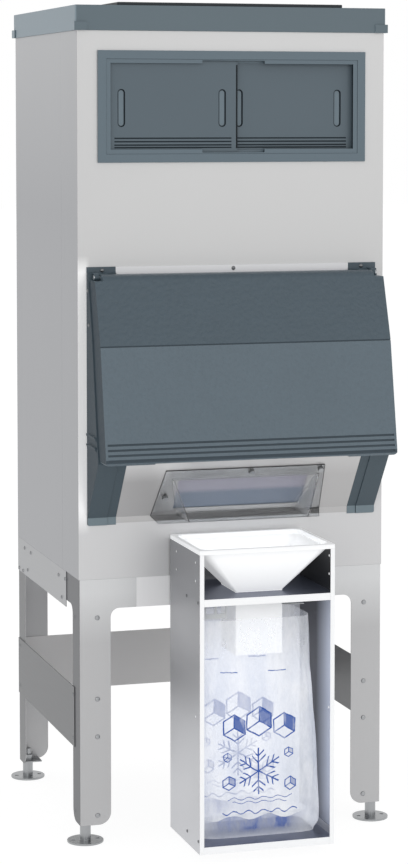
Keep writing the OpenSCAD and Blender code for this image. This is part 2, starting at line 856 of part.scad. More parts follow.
module sill() {
    shank_r = thumb_shank_d / 2 + turn_gap;
    color("#d3d4d5") in_place() difference() {
        above_stand() along_x(-hood_hole_x, hood_hole_x) polygon(bent_strip(sill_path, -sheet_t));
        on_sill() {
            box([chute_x - port_w / 2, chute_x + port_w / 2], [port_s0, port_s0 + port_l], [-sheet_t - 1, 1]);
            for (p = [thumb_left, thumb_top, thumb_right])
                translate([p[0], p[1], -sheet_t - 1]) cylinder(r = shank_r, h = sheet_t + 2);
        }
    }
}

module top_strip() {
    color("#cacbcc") in_place() above_stand() {
        box([-hood_hole_x, hood_hole_x], [-strip_t, 0], [strip_z0, strip_z1]);
        box([-hood_hole_x, hood_hole_x], [-strip_lip, -strip_t], [strip_z0, strip_z0 + sheet_t]);
    }
}

module hinge_brackets() {
    color("#5c6a72") in_place() for (side = [-1, 1]) on_side(side) difference() {
        union() {
            above_stand() along_x(hood_hole_x, cheek_x)
                polygon([[0, cheek_top], [0, strip_z1], [-strip_t, strip_z1],
                    [-strip_t, cheek_top + bracket_lip[2]], [-bracket_lip[0], cheek_top + bracket_lip[1]],
                    [-bracket_lip[0], cheek_top]]);
            box([knuckle_x0, knuckle_x1], [hinge_y - arm_r, -strip_t], [stand_h + cheek_top, arm_z1]);
            box([knuckle_x0, knuckle_x1], [hinge_y - arm_r, hinge_y + arm_r], [hinge_z, arm_z1]);
            translate([knuckle_x0, hinge_y, hinge_z]) rotate([0, 90, 0])
                cylinder(r = knuckle_r, h = knuckle_x1 - knuckle_x0);
        }
        translate([knuckle_x0 - 1, hinge_y, hinge_z]) rotate([0, 90, 0])
            cylinder(d = hinge_pin_d, h = knuckle_x1 - knuckle_x0 + 2);
    }
}

module hinge_pins() {
    x0 = notch_x - hinge_wall;
    color("#c9c9c9") in_place() for (side = [-1, 1]) on_side(side)
        translate([x0, hinge_y, hinge_z]) rotate([0, 90, 0]) {
            cylinder(d = hinge_pin_d, h = knuckle_x1 - x0 + 1);
            translate([0, 0, knuckle_x1 - x0])
                cylinder(d = hinge_pin_d + 2 * pin_head_wall, h = pin_head_l);
        }
}

module hood_screws() {
    end_x = cheek_x - screw_end;
    color("#8b8f92") in_place() above_stand() {
        for (x = [-end_x, 0, end_x]) translate([x, -strip_t, strip_z1 - screw_drop])
            rotate([90, 0, 0]) dome(screw_r, screw_h);
        for (side = [-1, 1], p = side_screws) on_side(side)
            translate([cheek_x, p[0], p[1]]) rotate([0, 90, 0]) dome(side_screw_r, side_screw_h);
    }
}

// The inside of the main door, open to the rear
module door_hollow() {
    polygon(inset(door_outline, hood_t));
    translate([2 * hood_t, 0]) polygon(inset(door_outline, hood_t));
}

module main_door() {
    tilt = atan2(door_bend[0] - door_low[0], door_bend[1] - door_low[1]);
    color("#5b6972") in_place() difference() {
        union() {
            above_stand() difference() {
                along_x(-door_x, door_x) polygon(door_outline);
                along_x(-door_x + hood_t, door_x - hood_t) door_hollow();
            }
            for (side = [-1, 1]) on_side(side) intersection() {
                above_stand() along_x(notch_x - hinge_wall, door_x) polygon(door_outline);
                union() {
                    box([notch_x - hinge_wall, notch_x], [-past_door, 0],
                        [hinge_z - pocket_h, hinge_z + pocket_h]);
                    box([notch_x, door_x], [-past_door, 0], [notch_z - hood_t, notch_z]);
                }
            }
        }
        for (side = [-1, 1]) on_side(side) {
            box([notch_x, door_x + 1], [-past_door, 0], [notch_z, hinge_z + pocket_h]);
            translate([notch_x - hinge_wall - 1, hinge_y, hinge_z]) rotate([0, 90, 0])
                cylinder(d = hinge_pin_d + 2 * turn_gap, h = hinge_wall + 2);
            above_stand() along_y(-past_door, 0) difference() {
                rect([door_x - door_corner_r, door_x + 1], [door_foot - 1, door_foot + door_corner_r]);
                translate([door_x - door_corner_r, door_foot + door_corner_r]) circle(door_corner_r);
            }
        }
        above_stand() {
            for (i = [0 : 3]) translate([0, front_y(door_groove_levels[i]), door_groove_levels[i]])
                rotate([-tilt, 0, 0]) box([-door_x + door_groove_end, door_x - door_groove_end],
                    [-2, door_groove_depths[i]], [-door_groove_r, door_groove_r]);
            translate([0, door_bend[0], door_bend[1]])
                box([-door_x - 1, door_x + 1], [-3, bend_groove[0]], [-bend_groove[1], bend_groove[1]]);
            box([-door_recess[0], door_recess[0]], [door_low[0] - 6, door_low[0] + 24],
                [door_foot - 5, door_foot + door_recess[1]]);
        }
    }
}

// Places on the door's rear edge, moved forward by t
function rear_line(t) = [for (z = door_levels) [rear_y(z) - t, z]];

module door_back() {
    rear = rear_line(back_inset);
    front = rear_line(back_inset + back_t);
    side_x = door_x - hood_t;
    color("#73818a") in_place() intersection() {
        above_stand() along_x(-side_x, side_x) polygon(concat(rear, [for (i = [4 : -1 : 0]) front[i]]));
        union() {
            box([-side_x, side_x], [-past_door, 0], [stand_h, hinge_z - pocket_h]);
            box([-notch_x + hinge_wall, notch_x - hinge_wall], [-past_door, 0], [stand_h, cabinet_top]);
        }
    }
}

module door_gasket() {
    x0 = hood_hole_x + cheek_band + gasket_gap;
    x1 = x0 + gasket_w;
    outline = concat(rear_line(0), [for (i = [4 : -1 : 0]) rear_line(back_inset)[i]]);
    color("#2f3437") in_place() above_stand() intersection() {
        along_x(-x1, x1) polygon(outline);
        union() {
            for (side = [-1, 1]) on_side(side) box([x0, x1], [-past_door, 0], gasket_z);
            box([-x1, x1], [-past_door, 0], [gasket_z[0], gasket_z[0] + gasket_h]);
        }
    }
}

module ice_gate() {
    color("#7d8fb8") in_place() {
        box([-gate_x, gate_x], [gate_y, gate_y + gate_t], [gate_z, gate_z + gate_h]);
        box([-gate_x + gate_lip_side, gate_x - gate_lip_side], [gate_y - gate_lip, gate_y],
            [gate_z + gate_h - gate_t, gate_z + gate_h]);
    }
}

module gate_tracks() {
    z1 = gate_z + gate_h + track_reach;
    y0 = gate_y - gate_slot;
    y1 = gate_y + gate_t + gate_slot;
    color("#dfe2e4") in_place() for (side = [-1, 1]) on_side(side) difference() {
        box([gate_x - track_lap, hood_hole_x], [y0 - track_wall, y1 + track_wall], [hood_z0, z1]);
        box([gate_x - track_lap - 1, gate_x + 1], [y0, y1], [gate_z - free_gap, z1 + 1]);
    }
}

module chute_gate() {
    s1 = chute_gate_s0 + chute_gate_l;
    x = port_w / 2 + gate_lap;
    n = chute_gate_n + gate_t;
    color("#7d8fb8") in_place() on_sill() {
        box([chute_x - x, chute_x + x], [chute_gate_s0, s1], [-n, -chute_gate_n]);
        box([chute_x - chute_gate_grip, chute_x + chute_gate_grip], [s1 - gate_t, s1],
            [-n - chute_gate_lip, -n]);
    }
}

module chute_rails() {
    x = port_w / 2 + gate_lap + rail_slot;
    n = chute_gate_n + gate_t + rail_slot;
    s0 = chute_gate_s0 - rail_stop;
    s1 = chute_gate_s0 + chute_gate_l + gate_travel;
    color("#dfe2e4") in_place() on_sill() translate([chute_x, 0, 0]) for (side = [-1, 1]) on_side(side) {
        box([x, x + rail_w], [s0, s1], [-n - rail_wall, -sheet_t]);
        box([x - rail_lap, x], [s0, s1], [-n - rail_wall, -n]);
        box([x - rail_lap, x], [s0, chute_gate_s0 - free_gap], [-n, -sheet_t]);
    }
}

// Half the chute's width, and its front wall's place, at a height above the stand
function chute_half(z, t) = along_chute(z, chute_bottom_w / 2, chute_top_w / 2) - t;
function chute_front(z, t) = along_chute(z, chute_front_bottom, chute_front_top) + t;
function along_chute(z, low, high) = low + (high - low) * (z - chute_bottom) / (chute_top - chute_bottom);
function sill_face(z) = sill_y - (z - sill_foot) / tan(sill_angle);

module chute_room(t, z0, z1, rear) {
    intersection() {
        along_x(chute_x - chute_top_w, chute_x + chute_top_w)
            polygon(concat([[chute_front(z1, t), z1], [chute_front(z0, t), z0]], rear));
        along_y(-past_door, past_door) translate([chute_x, 0]) polygon([[-chute_half(z1, t), z1],
            [chute_half(z1, t), z1], [chute_half(z0, t), z0], [-chute_half(z0, t), z0]]);
    }
}

module spout() {
    lip = chute_flange_bottom;
    hole_r = thumb_shank_d / 2 + thumb_hole_gap;
    low = chute_bottom - chute_cut;
    back = sill_y - chute_t - chute_back_gap;
    back_z = sill_foot + 10;
    top = sill_foot - chute_bend_gap;
    color([0.85, 0.88, 0.92, 0.5]) in_place() difference() {
        union() {
            above_stand() chute_room(0, chute_bottom, chute_top,
                [[sill_y, chute_bottom], [sill_y, sill_foot], [sill_face(chute_top), chute_top]]);
            on_sill() linear_extrude(chute_t) translate([chute_x, 0]) polygon([[-lip, 0], [lip, 0],
                [chute_flange_top, chute_flange_s1], [-chute_flange_top, chute_flange_s1]]);
            above_stand() along_y(sill_y - chute_t, sill_y) translate([chute_x, 0])
                polygon([[-lip, top], [-lip, top - chute_lip_edge],
                    [-lip + chute_lip_side, chute_lip_z], [lip, chute_lip_z], [lip, top]]);
        }
        above_stand() chute_room(chute_t, low, chute_top - chute_t,
            [[back, low], [back, back_z], [10, back_z], [10, chute_top - chute_t]]);
        on_sill() for (p = [thumb_left, thumb_top, thumb_right])
            translate([p[0], p[1], -1]) cylinder(r = hole_r, h = chute_t + 2);
    }
}

module thumb_screw(at) {
    color("#b9bdc0") in_place() on_sill() translate([at[0], at[1], chute_t + free_gap]) {
        cylinder(d = thumb_d, h = thumb_head_l);
        translate([0, 0, -thumb_shank_l]) cylinder(d = thumb_shank_d, h = thumb_shank_l);
    }
}

module hanger_rail() {
    color("#c6c7c8") under_chute() {
        box([-rail_x, rail_x], [-sheet_t, 0], [rail_z, rail_z + rail_h]);
        box([-rail_x, rail_x], [rail_lip_y, -sheet_t], [rail_z, rail_z + sheet_t]);
        box([-rail_x, rail_x], [rail_lip_y, rail_lip_y + sheet_t], [rail_z, rail_z + lip_h]);
    }
}

module bagger_wall(side) {
    color("#b6b7b9") under_chute() on_side(side) difference() {
        union() {
            box([bagger_in, bagger_x], [bagger_y0, bagger_y1], [bagger_z, bagger_top]);
            box([bagger_in - bagger_flange, bagger_in], [bagger_y0, bagger_y0 + sheet_t],
                [bagger_z, bagger_top]);
        }
        for (p = concat([for (y = wall_holes_y, d = wall_hole_drops) [y, bagger_top - d]],
            [[wall_holes_y[1], low_hole_z]]))
            translate([bagger_in - 1, p[0], p[1]]) rotate([0, 90, 0])
                cylinder(d = wall_hole_d, h = sheet_t + 2);
    }
}

module bagger_back() {
    color("#b0b1b3") under_chute() {
        box([-bagger_in, bagger_in], [bagger_y1 - sheet_t, bagger_y1], [bagger_z, bagger_top]);
        box([-tongue_x, tongue_x], [bagger_y1, tongue_y + sheet_t], [tongue_z, tongue_z + sheet_t]);
        box([-tongue_x, tongue_x], [tongue_y, tongue_y + sheet_t],
            [rail_z + sheet_t + free_gap, tongue_z]);
    }
}

// A tray of the bagging cabinet: plate, front lip and side flanges that rise or drop
module tray(top_z, flange_z) {
    box([-bagger_in, bagger_in], [bagger_y0 + sheet_t, bagger_y1 - sheet_t], [top_z - sheet_t, top_z]);
    box([-bagger_in + bagger_flange, bagger_in - bagger_flange], [bagger_y0, bagger_y0 + sheet_t],
        [top_z - bagger_lip, top_z]);
    for (side = [-1, 1]) on_side(side) box([bagger_in - sheet_t, bagger_in],
        [bagger_y0 + tray_gap, bagger_y1 - tray_gap], flange_z);
}

module bagger_floor() {
    z = bagger_floor_z;
    color("#c3c4c5") under_chute() tray(z, [z, z + tray_rise]);
}

module bagger_shelf() {
    w = pipe_w / 2 + pipe_gap;
    color("#d5d6d7") under_chute() difference() {
        tray(shelf_z, [shelf_z - bagger_lip + 1, shelf_z - sheet_t]);
        box([-w, w], [pipe_y - w, pipe_y + w], [shelf_z - sheet_t - 1, shelf_z + 1]);
    }
}

module bag_hangers() {
    y = [hanger_y, hanger_y + hanger_t];
    z = shelf_z - sheet_t;
    color("#e3e5e6") under_chute() {
        difference() {
            box(left_hanger, y, [z - left_hanger_h, z]);
            for (x = hanger_windows)
                box([x, x + hanger_window_w], [y[0] - 1, y[1] + 1],
                    [z + hanger_window_z[0], z + hanger_window_z[1]]);
        }
        box(right_hanger, y, [z - right_hanger_h, z]);
        box(right_hanger, [hanger_y - right_hanger_lip, hanger_y],
            [z - right_hanger_h, z - right_hanger_h + hanger_t]);
    }
}

module bagger_rivets() {
    color("#8b8d8f") under_chute() for (side = [-1, 1]) on_side(side)
        for (p = concat([for (y = shelf_rivets) [y, shelf_rivet_z]],
            [for (y = floor_rivets) [y, floor_rivet_z]]))
            translate([bagger_x, p[0], p[1]]) rotate([0, 90, 0]) dome(bagger_rivet_r, bagger_rivet_h);
}

// One cross-section of the funnel, centred over its pipe or its mouth
module funnel_section(w, l, y, r, z) {
    translate([0, y, z]) linear_extrude(0.5) rounded_square([-w / 2, w / 2], [-l / 2, l / 2], r);
}

module funnel() {
    rim_z = bagger_top + free_gap;
    mouth_y = bagger_y1 - mouth_gap - mouth_l / 2;
    cone_z = shelf_z + cone_rise;
    throat = pipe_w - 2 * funnel_t;
    pipe_z = shelf_z - sheet_t - pipe_l;
    color("#f3f4f4") under_chute() difference() {
        union() {
            box([-bagger_x, bagger_x], [bagger_y0, bagger_y1 - rim_gap], [rim_z, rim_z + rim_h]);
            hull() {
                funnel_section(mouth_w + funnel_t, mouth_l + funnel_t, mouth_y, mouth_r, rim_z);
                funnel_section(pipe_w, pipe_w, pipe_y, pipe_r, cone_z);
            }
            box([-pipe_w / 2, pipe_w / 2], [pipe_y - pipe_w / 2, pipe_y + pipe_w / 2], [pipe_z, cone_z]);
        }
        translate([0, 0, rim_z]) linear_extrude(rim_h + 1) translate([0, mouth_y])
            rounded_square([-mouth_w / 2, mouth_w / 2], [-mouth_l / 2, mouth_l / 2], mouth_r);
        hull() {
            funnel_section(mouth_w - 2 * funnel_t, mouth_l - 2 * funnel_t, mouth_y, mouth_r, rim_z + 1);
            funnel_section(throat, throat, pipe_y, pipe_r, cone_z);
        }
        box([-throat / 2, throat / 2], [pipe_y - throat / 2, pipe_y + throat / 2], [pipe_z - 1, cone_z + 1]);
    }
}

// One cross-section of the film bag, made smaller by t
module bag_section(x, y, z, t) {
    translate([0, 0, z]) linear_extrude(0.5)
        rounded_square([x[0] + t, x[1] - t], [y[0] + t, y[1] - t], bag_r, $fn = 24);
}

module film_bag() {
    z0 = bagger_floor_z;
    color([0.9, 0.93, 0.97, 0.6]) under_chute() difference() {
        hull() {
            bag_section(bag_top_x, bag_top_y, bag_z1 - 0.5, 0);
            bag_section(bag_belly_x, bag_belly_y, z0 + bag_belly, 0);
            bag_section(bag_foot_x, bag_foot_y, z0, 0);
        }
        hull() {
            bag_section(bag_top_x, bag_top_y, bag_z1, bag_t);
            bag_section(bag_belly_x, bag_belly_y, z0 + bag_belly, bag_t);
            bag_section(bag_foot_x, bag_foot_y, z0 + bag_t, bag_t);
        }
    }
}

leg(-1, false);  // leg_front_left
leg(1, false);  // leg_front_right
leg(-1, true);  // leg_rear_left
leg(1, true);  // leg_rear_right
end_apron(false);  // front_apron
end_apron(true);  // rear_apron
side_apron(-1);  // left_apron
side_apron(1);  // right_apron
lower_side_panel(-1);  // lower_left_panel
lower_side_panel(1);  // lower_right_panel
lower_rear_panel();
foot_sockets();
foot(-1, false);  // foot_front_left
foot(1, false);  // foot_front_right
foot(-1, true);  // foot_rear_left
foot(1, true);  // foot_rear_right
stand_rivets();
base_pan();
front_panel();
side_panel(-1);  // left_side_panel
side_panel(1);  // right_side_panel
back_panel();
foam_insulation();
liner();
top_cover();
top_curb();
cover_clips();
drain_pipe();
drain_nut();
window_frame();
window_door(-track_x + pane_gap, pane_y_left);  // window_door_left
window_door(track_x - pane_gap - pane_w, pane_y_right);  // window_door_right
cheek(-1);  // cheek_left
cheek(1);  // cheek_right
sill();
top_strip();
hinge_brackets();
hinge_pins();
hood_screws();
main_door();
door_back();
door_gasket();
ice_gate();
gate_tracks();
chute_gate();
chute_rails();
spout();
thumb_screw(thumb_left);  // thumb_screw_left
thumb_screw(thumb_top);  // thumb_screw_top
thumb_screw(thumb_right);  // thumb_screw_right
hanger_rail();
bagger_wall(-1);  // bagger_wall_left
bagger_wall(1);  // bagger_wall_right
bagger_back();
bagger_floor();
bagger_shelf();
bag_hangers();
bagger_rivets();
funnel();
film_bag();
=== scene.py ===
"""The looks of an ice storage bin and its bagging cabinet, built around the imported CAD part.

Lengths are in metres: X runs to the right, Y to the rear and Z up from the floor.
"""

import json
import math
import random

import bmesh
import bpy
from mathutils import Matrix, Vector

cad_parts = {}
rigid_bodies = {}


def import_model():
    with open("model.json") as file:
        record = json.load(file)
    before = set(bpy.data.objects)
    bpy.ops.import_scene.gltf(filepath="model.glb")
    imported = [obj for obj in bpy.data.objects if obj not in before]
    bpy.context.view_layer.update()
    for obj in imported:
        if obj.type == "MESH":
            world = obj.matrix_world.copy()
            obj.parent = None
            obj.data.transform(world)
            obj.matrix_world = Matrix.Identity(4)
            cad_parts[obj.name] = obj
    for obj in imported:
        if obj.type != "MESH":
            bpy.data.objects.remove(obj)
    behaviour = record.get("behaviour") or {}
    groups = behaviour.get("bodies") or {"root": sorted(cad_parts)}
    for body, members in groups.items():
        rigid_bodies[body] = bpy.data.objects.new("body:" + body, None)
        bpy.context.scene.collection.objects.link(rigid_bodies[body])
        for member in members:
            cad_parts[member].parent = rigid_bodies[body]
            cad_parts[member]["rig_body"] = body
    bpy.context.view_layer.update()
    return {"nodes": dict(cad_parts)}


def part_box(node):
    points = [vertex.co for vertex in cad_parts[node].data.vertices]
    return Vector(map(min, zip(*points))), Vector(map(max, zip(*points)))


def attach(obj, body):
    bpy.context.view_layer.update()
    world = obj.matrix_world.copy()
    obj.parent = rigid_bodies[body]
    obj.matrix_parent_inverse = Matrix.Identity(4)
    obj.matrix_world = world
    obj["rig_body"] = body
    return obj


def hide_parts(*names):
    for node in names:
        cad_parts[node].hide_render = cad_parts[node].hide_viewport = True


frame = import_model()

MM = 0.001
WELD = 0.00001
FLAT_ANGLE = math.radians(0.4)
EDGE_ANGLE = math.radians(32)
SHARP_ANGLE = math.radians(36)

# Places where a colour or a glow changes, measured from the part's own pieces: mostly painted shade and
# painted light, and where the film clears

panel_low, panel_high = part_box("front_panel")
cheek_low, cheek_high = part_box("cheek_left")
door_low, door_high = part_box("main_door")
shelf_low, shelf_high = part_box("bagger_shelf")
bag_low, bag_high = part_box("film_bag")
leg_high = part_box("leg_front_left")[1]
sill_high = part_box("sill")[1]
chute_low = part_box("spout")[0]
gate_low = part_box("chute_gate")[0]
funnel_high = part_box("funnel")[1]


def fade(level, start, end):
    """Where a change starts and ends, in millimetres from a level of the part."""
    return level + start * MM, level + end * MM


FRONT_FOOT = fade(panel_low.z, 167, 467)
SIDE_HEAD = fade(panel_high.z, -481, -81)
HOOD_SIDE = fade(cheek_low.x, 2.5, 12.5)
HOOD_HEAD = fade(cheek_high.z, 2.5, 42.5)
HOOD_FOOT = fade(cheek_low.z, -22, 38)
SILL_HEAD = fade(sill_high.z, -85, -45)
CHUTE_SIDE = fade(chute_low.x, 16, 76)
GATE_FOOT = fade(gate_low.z, 41, 53)
LEG_HEAD = fade(leg_high.z, -153, -33)
BAGGER_HEAD = fade(shelf_low.z, -163, 17)
BAGGER_DEPTH = fade(shelf_low.y, 41, 131)
SHELF_TOP = fade(shelf_high.z, -10, 0)
BACK_HEAD = fade(shelf_low.z, -23, 27)
BACK_GLOW = fade(shelf_low.z, -183, -23)
PIPE_HEAD = fade(shelf_low.z, -3, 37)
FUNNEL_MOUTH = fade(funnel_high.z, -23, 7)
FILM_HEAD = fade(bag_high.z, -160, -70)


def srgb(code):
    """A colour written as six hex digits, as the linear values that Blender takes."""
    parts = [int(code[i : i + 2], 16) / 255 for i in (0, 2, 4)]
    return [p / 12.92 if p <= 0.04045 else ((p + 0.055) / 1.055) ** 2.4 for p in parts] + [1.0]


def scaled(colour, factor):
    return [min(1.0, part * factor) for part in colour[:3]] + [1.0]


# Finishes


class Value:
    """A number that varies over a surface: one output socket of a node tree."""

    def __init__(self, nodes, socket):
        self.nodes = nodes
        self.socket = socket

    def math(self, operation, first, second):
        return self.nodes.node("ShaderNodeMath", {"operation": operation}, {0: first, 1: second})

    def __add__(self, other):
        return self.math("ADD", self, other)

    def __radd__(self, other):
        return self.math("ADD", other, self)

    def __sub__(self, other):
        return self.math("SUBTRACT", self, other)

    def __rsub__(self, other):
        return self.math("SUBTRACT", other, self)

    def __mul__(self, other):
        return self.math("MULTIPLY", self, other)

    def __rmul__(self, other):
        return self.math("MULTIPLY", other, self)

    def __abs__(self):
        return self.math("ABSOLUTE", self, 0.0)

    def larger(self, other):
        return self.math("MAXIMUM", self, other)

    def sine(self):
        return self.math("SINE", self, 0.0)

    def ramp(self, start, end, first, last):
        """Goes evenly from first to last while this value goes from start to end."""
        limits = {"Value": self, "From Min": start, "From Max": end, "To Min": first, "To Max": last}
        return self.nodes.node("ShaderNodeMapRange", None, limits)


class Nodes:
    """The node tree of a finish or of the world."""

    def __init__(self, tree):
        self.tree = tree

    def node(self, kind, settings=None, inputs=None, output=0):
        """Adds a node, sets it, feeds its sockets and gives the value of one output."""
        made = self.tree.nodes.new(kind)
        for name, value in (settings or {}).items():
            setattr(made, name, value)
        for name, value in (inputs or {}).items():
            self.feed(made.inputs[name], value)
        return Value(self, made.outputs[output])

    def feed(self, socket, value):
        """Links a value to a socket, or sets a plain number or colour on it."""
        if isinstance(value, Value):
            self.tree.links.new(value.socket, socket)
        else:
            socket.default_value = value

    def blend(self, factor, first, second):
        """A mix of two colours."""
        colours = {"Factor": factor, 6: first, 7: second}
        return self.node("ShaderNodeMix", {"data_type": "RGBA"}, colours, output=2)


class Finish(Nodes):
    """A material whose shader is one Principled BSDF, with the record's slot that it belongs to."""

    def __init__(self, name, slot, constants):
        self.material = bpy.data.materials.new(name)
        self.material.use_nodes = True
        super().__init__(self.material.node_tree)
        self.shader = self.tree.nodes["Principled BSDF"]
        self.slot = slot
        for socket, value in constants.items():
            self.shader.inputs[socket].default_value = value

    def place(self, scale):
        """The piece's own coordinates, stretched by a scale along each axis."""
        coordinates = self.node("ShaderNodeTexCoord", output="Object")
        return self.node("ShaderNodeMapping", None, {"Vector": coordinates, "Scale": scale})

    def along(self, axis):
        """The distance from the part's origin along X, Y or Z."""
        coordinates = self.node("ShaderNodeTexCoord", output="Object")
        return self.node("ShaderNodeSeparateXYZ", None, {0: coordinates}, output=axis)

    def height(self):
        return self.along("Z")

    def noise(self, cells, detail=3.0, roughness=0.5):
        """Even noise from 0 to 1, with so many cells to the metre along each axis."""
        inputs = {"Vector": self.place(cells), "Scale": 1.0, "Detail": detail, "Roughness": roughness}
        return self.node("ShaderNodeTexNoise", None, inputs)

    def paint(self, socket, value):
        self.feed(self.shader.inputs[socket], value)

    def relief(self, height, distance, strength=1.0):
        """Dents the surface: the height goes from 0 to 1, and the distance is its full depth."""
        inputs = {"Height": height, "Distance": distance, "Strength": strength}
        self.paint("Normal", self.node("ShaderNodeBump", None, inputs))


def lit_where(finish, share, code):
    """Paints light on a finish: a glow in a share of its surface, where its neighbours keep the studio's
    light out.
    """
    finish.paint("Emission Color", finish.blend(share, srgb("000000"), srgb(code)))


# Steel

UPRIGHT_GRAIN = (900.0, 900.0, 9.0)
LEVEL_GRAIN_X = (9.0, 900.0, 900.0)
LEVEL_GRAIN_Y = (900.0, 9.0, 900.0)
TURNED_GRAIN = (60.0, 60.0, 60.0)
SHEET_CLOUDS = (1.6, 1.6, 1.3)
GRAIN_DEPTH = 0.03 * MM
GRAIN_STRENGTH = 0.4
GRAIN_ROUGHNESS = 0.12
RAGGED_DEPTH = 10 * MM


def brushed_steel(
    name,
    slot,
    code,
    grain,
    rough=0.36,
    spread=0.05,
    metal=1.0,
    glow=0.0,
    painted_low_code=None,
    levels=(0.0, 1.0),
):
    """Stainless sheet with fine brushing: grain gives the cells to the metre along X, Y and Z.

    Towards the lower of the two levels the sheet takes the lower colour, if there is one: a painted change
    of light and shade with height. Any glow is painted light too.
    """
    steel = Finish(name, slot, {"Metallic": metal, "Emission Color": srgb(code), "Emission Strength": glow})
    streaks = steel.noise(grain, detail=4.0, roughness=0.6)
    clouds = steel.noise(SHEET_CLOUDS, detail=2.0)
    colour = steel.blend(steel.height().ramp(*levels, 1.0, 0.0), srgb(code), srgb(painted_low_code or code))
    tone = ((streaks + clouds) * 0.5).ramp(0.0, 1.0, 1 - spread, 1 + spread)
    shaded = steel.node("ShaderNodeVectorMath", {"operation": "SCALE"}, {0: colour, "Scale": tone})
    steel.paint("Base Color", shaded)
    steel.paint("Roughness", rough + (streaks - 0.5) * GRAIN_ROUGHNESS)
    steel.relief(streaks, GRAIN_DEPTH, GRAIN_STRENGTH)
    return steel


# A shaded copy of the steel for the front's returns, the sides, the back and the base, darker towards its
# foot: painted shade
shaded_side_steel = brushed_steel(
    "shaded_side_steel", "steel_side", "b6b7b9", UPRIGHT_GRAIN, rough=0.42, painted_low_code="a5a6a9", levels=SIDE_HEAD
)
# The top strip and the aprons glow faintly: painted light
strip_steel = brushed_steel("strip_steel", "steel_front", "e0e0e2", LEVEL_GRAIN_X, metal=0.3, glow=0.06)

apron_steel = brushed_steel(
    "apron_steel", "steel_stand", "f2f2f3", UPRIGHT_GRAIN, rough=0.4, metal=0.2, glow=0.07
)
# Painted shade: the legs darker towards their foot, and shaded copies of the stand's steel for the side
# aprons, the legs' left faces and the lower side panels
stand_steel = brushed_steel(
    "stand_steel", "steel_stand", "dedfe0", UPRIGHT_GRAIN, metal=0.5, painted_low_code="c4c4c5", levels=LEG_HEAD
)
shaded_stand_side_steel = brushed_steel("shaded_stand_side_steel", "steel_stand", "a8a9ab", LEVEL_GRAIN_Y, rough=0.4)
shaded_leg_side_steel = brushed_steel("shaded_leg_side_steel", "steel_stand", "66676a", UPRIGHT_GRAIN, rough=0.4)
shaded_rear_side_steel = brushed_steel(
    "shaded_rear_side_steel", "steel_stand", "727375", UPRIGHT_GRAIN, rough=0.4, metal=0.8
)
shaded_panel_steel = brushed_steel("shaded_panel_steel", "steel_stand", "707173", LEVEL_GRAIN_Y, rough=0.4, metal=0.8)
rear_panel_steel = brushed_steel(
    "rear_panel_steel", "steel_stand", "d6d5d5", LEVEL_GRAIN_X, rough=0.4, metal=0.5
)

# Darker towards the top: painted shade
bagger_steel = brushed_steel(
    "bagger_steel",
    "steel_bagger",
    "9a9b9f",
    UPRIGHT_GRAIN,
    metal=0.65,
    painted_low_code="d2d3d7",
    levels=BAGGER_HEAD,
)
# A painted highlight on the front edges of the cabinet's walls, floor and shelf, which glows faintly
painted_edge_highlight = brushed_steel(
    "painted_edge_highlight", "steel_bagger", "f6f7f8", LEVEL_GRAIN_X, rough=0.5, spread=0.01, metal=0.2, glow=0.2
)
# A shaded copy for the top faces of the cabinet's floor and shelf: painted shade
shaded_floor_steel = brushed_steel("shaded_floor_steel", "steel_bagger", "6a7082", LEVEL_GRAIN_X, metal=0.8)

plain_steel = brushed_steel("plain_steel", "steel_hardware", "a4a6a8", TURNED_GRAIN, rough=0.3)
chrome_steel = brushed_steel("chrome_steel", "steel_hardware", "d5d8db", TURNED_GRAIN, rough=0.16)
# Dark steel for screws and rivets, which is also the shaded copy on the stand rivets' side faces: painted
# shade there
dark_and_shaded_steel = brushed_steel("dark_and_shaded_steel", "steel_hardware", "77797b", TURNED_GRAIN, rough=0.32)


def front_finish():
    """Steel of the bin's front, with painted light: lighter towards its foot, and a faint glow in the
    narrow strip on the hood's left, where the cheek shades it.
    """
    steel = brushed_steel(
        "front_steel",
        "steel_front",
        "d0d0d0",
        UPRIGHT_GRAIN,
        spread=0.03,
        metal=0.4,
        glow=0.42,
        painted_low_code="dcdcdd",
        levels=FRONT_FOOT,
    )
    beside_hood = steel.along("X").ramp(*HOOD_SIDE, 1.0, 0.0)
    below_head = steel.height().ramp(*HOOD_HEAD, 1.0, 0.0)
    above_foot = steel.height().ramp(*HOOD_FOOT, 0.0, 1.0)
    lit_where(steel, beside_hood * below_head * above_foot, "f3f3f3")
    return steel


def sill_finish():
    """Steel of the slanted sill, with painted light: a faint glow, strongest high up under the door and on
    the left of the chute, standing in for light that the door keeps out.
    """
    steel = brushed_steel(
        "sill_steel", "steel_front", "bdbcbc", LEVEL_GRAIN_X, rough=0.34, metal=0.55, glow=0.34
    )
    above_chute = steel.height().ramp(*SILL_HEAD, 0.12, 1.0)
    left_of_chute = steel.along("X").ramp(*CHUTE_SIDE, 1.0, 0.45)
    lit_where(steel, above_chute * left_of_chute, "c8c8c8")
    return steel


def bagger_rear_finish():
    """Steel of the bagging cabinet's back, with painted shade dark behind the funnel and a painted glow
    light behind the bag.
    """
    steel = brushed_steel(
        "bagger_rear_steel",
        "steel_bagger",
        "202125",
        UPRIGHT_GRAIN,
        metal=0.6,
        glow=0.5,
        painted_low_code="a9abb2",
        levels=BACK_HEAD,
    )
    lit_where(steel, steel.height().ramp(*BACK_GLOW, 1.0, 0.1), "eceef5")
    return steel


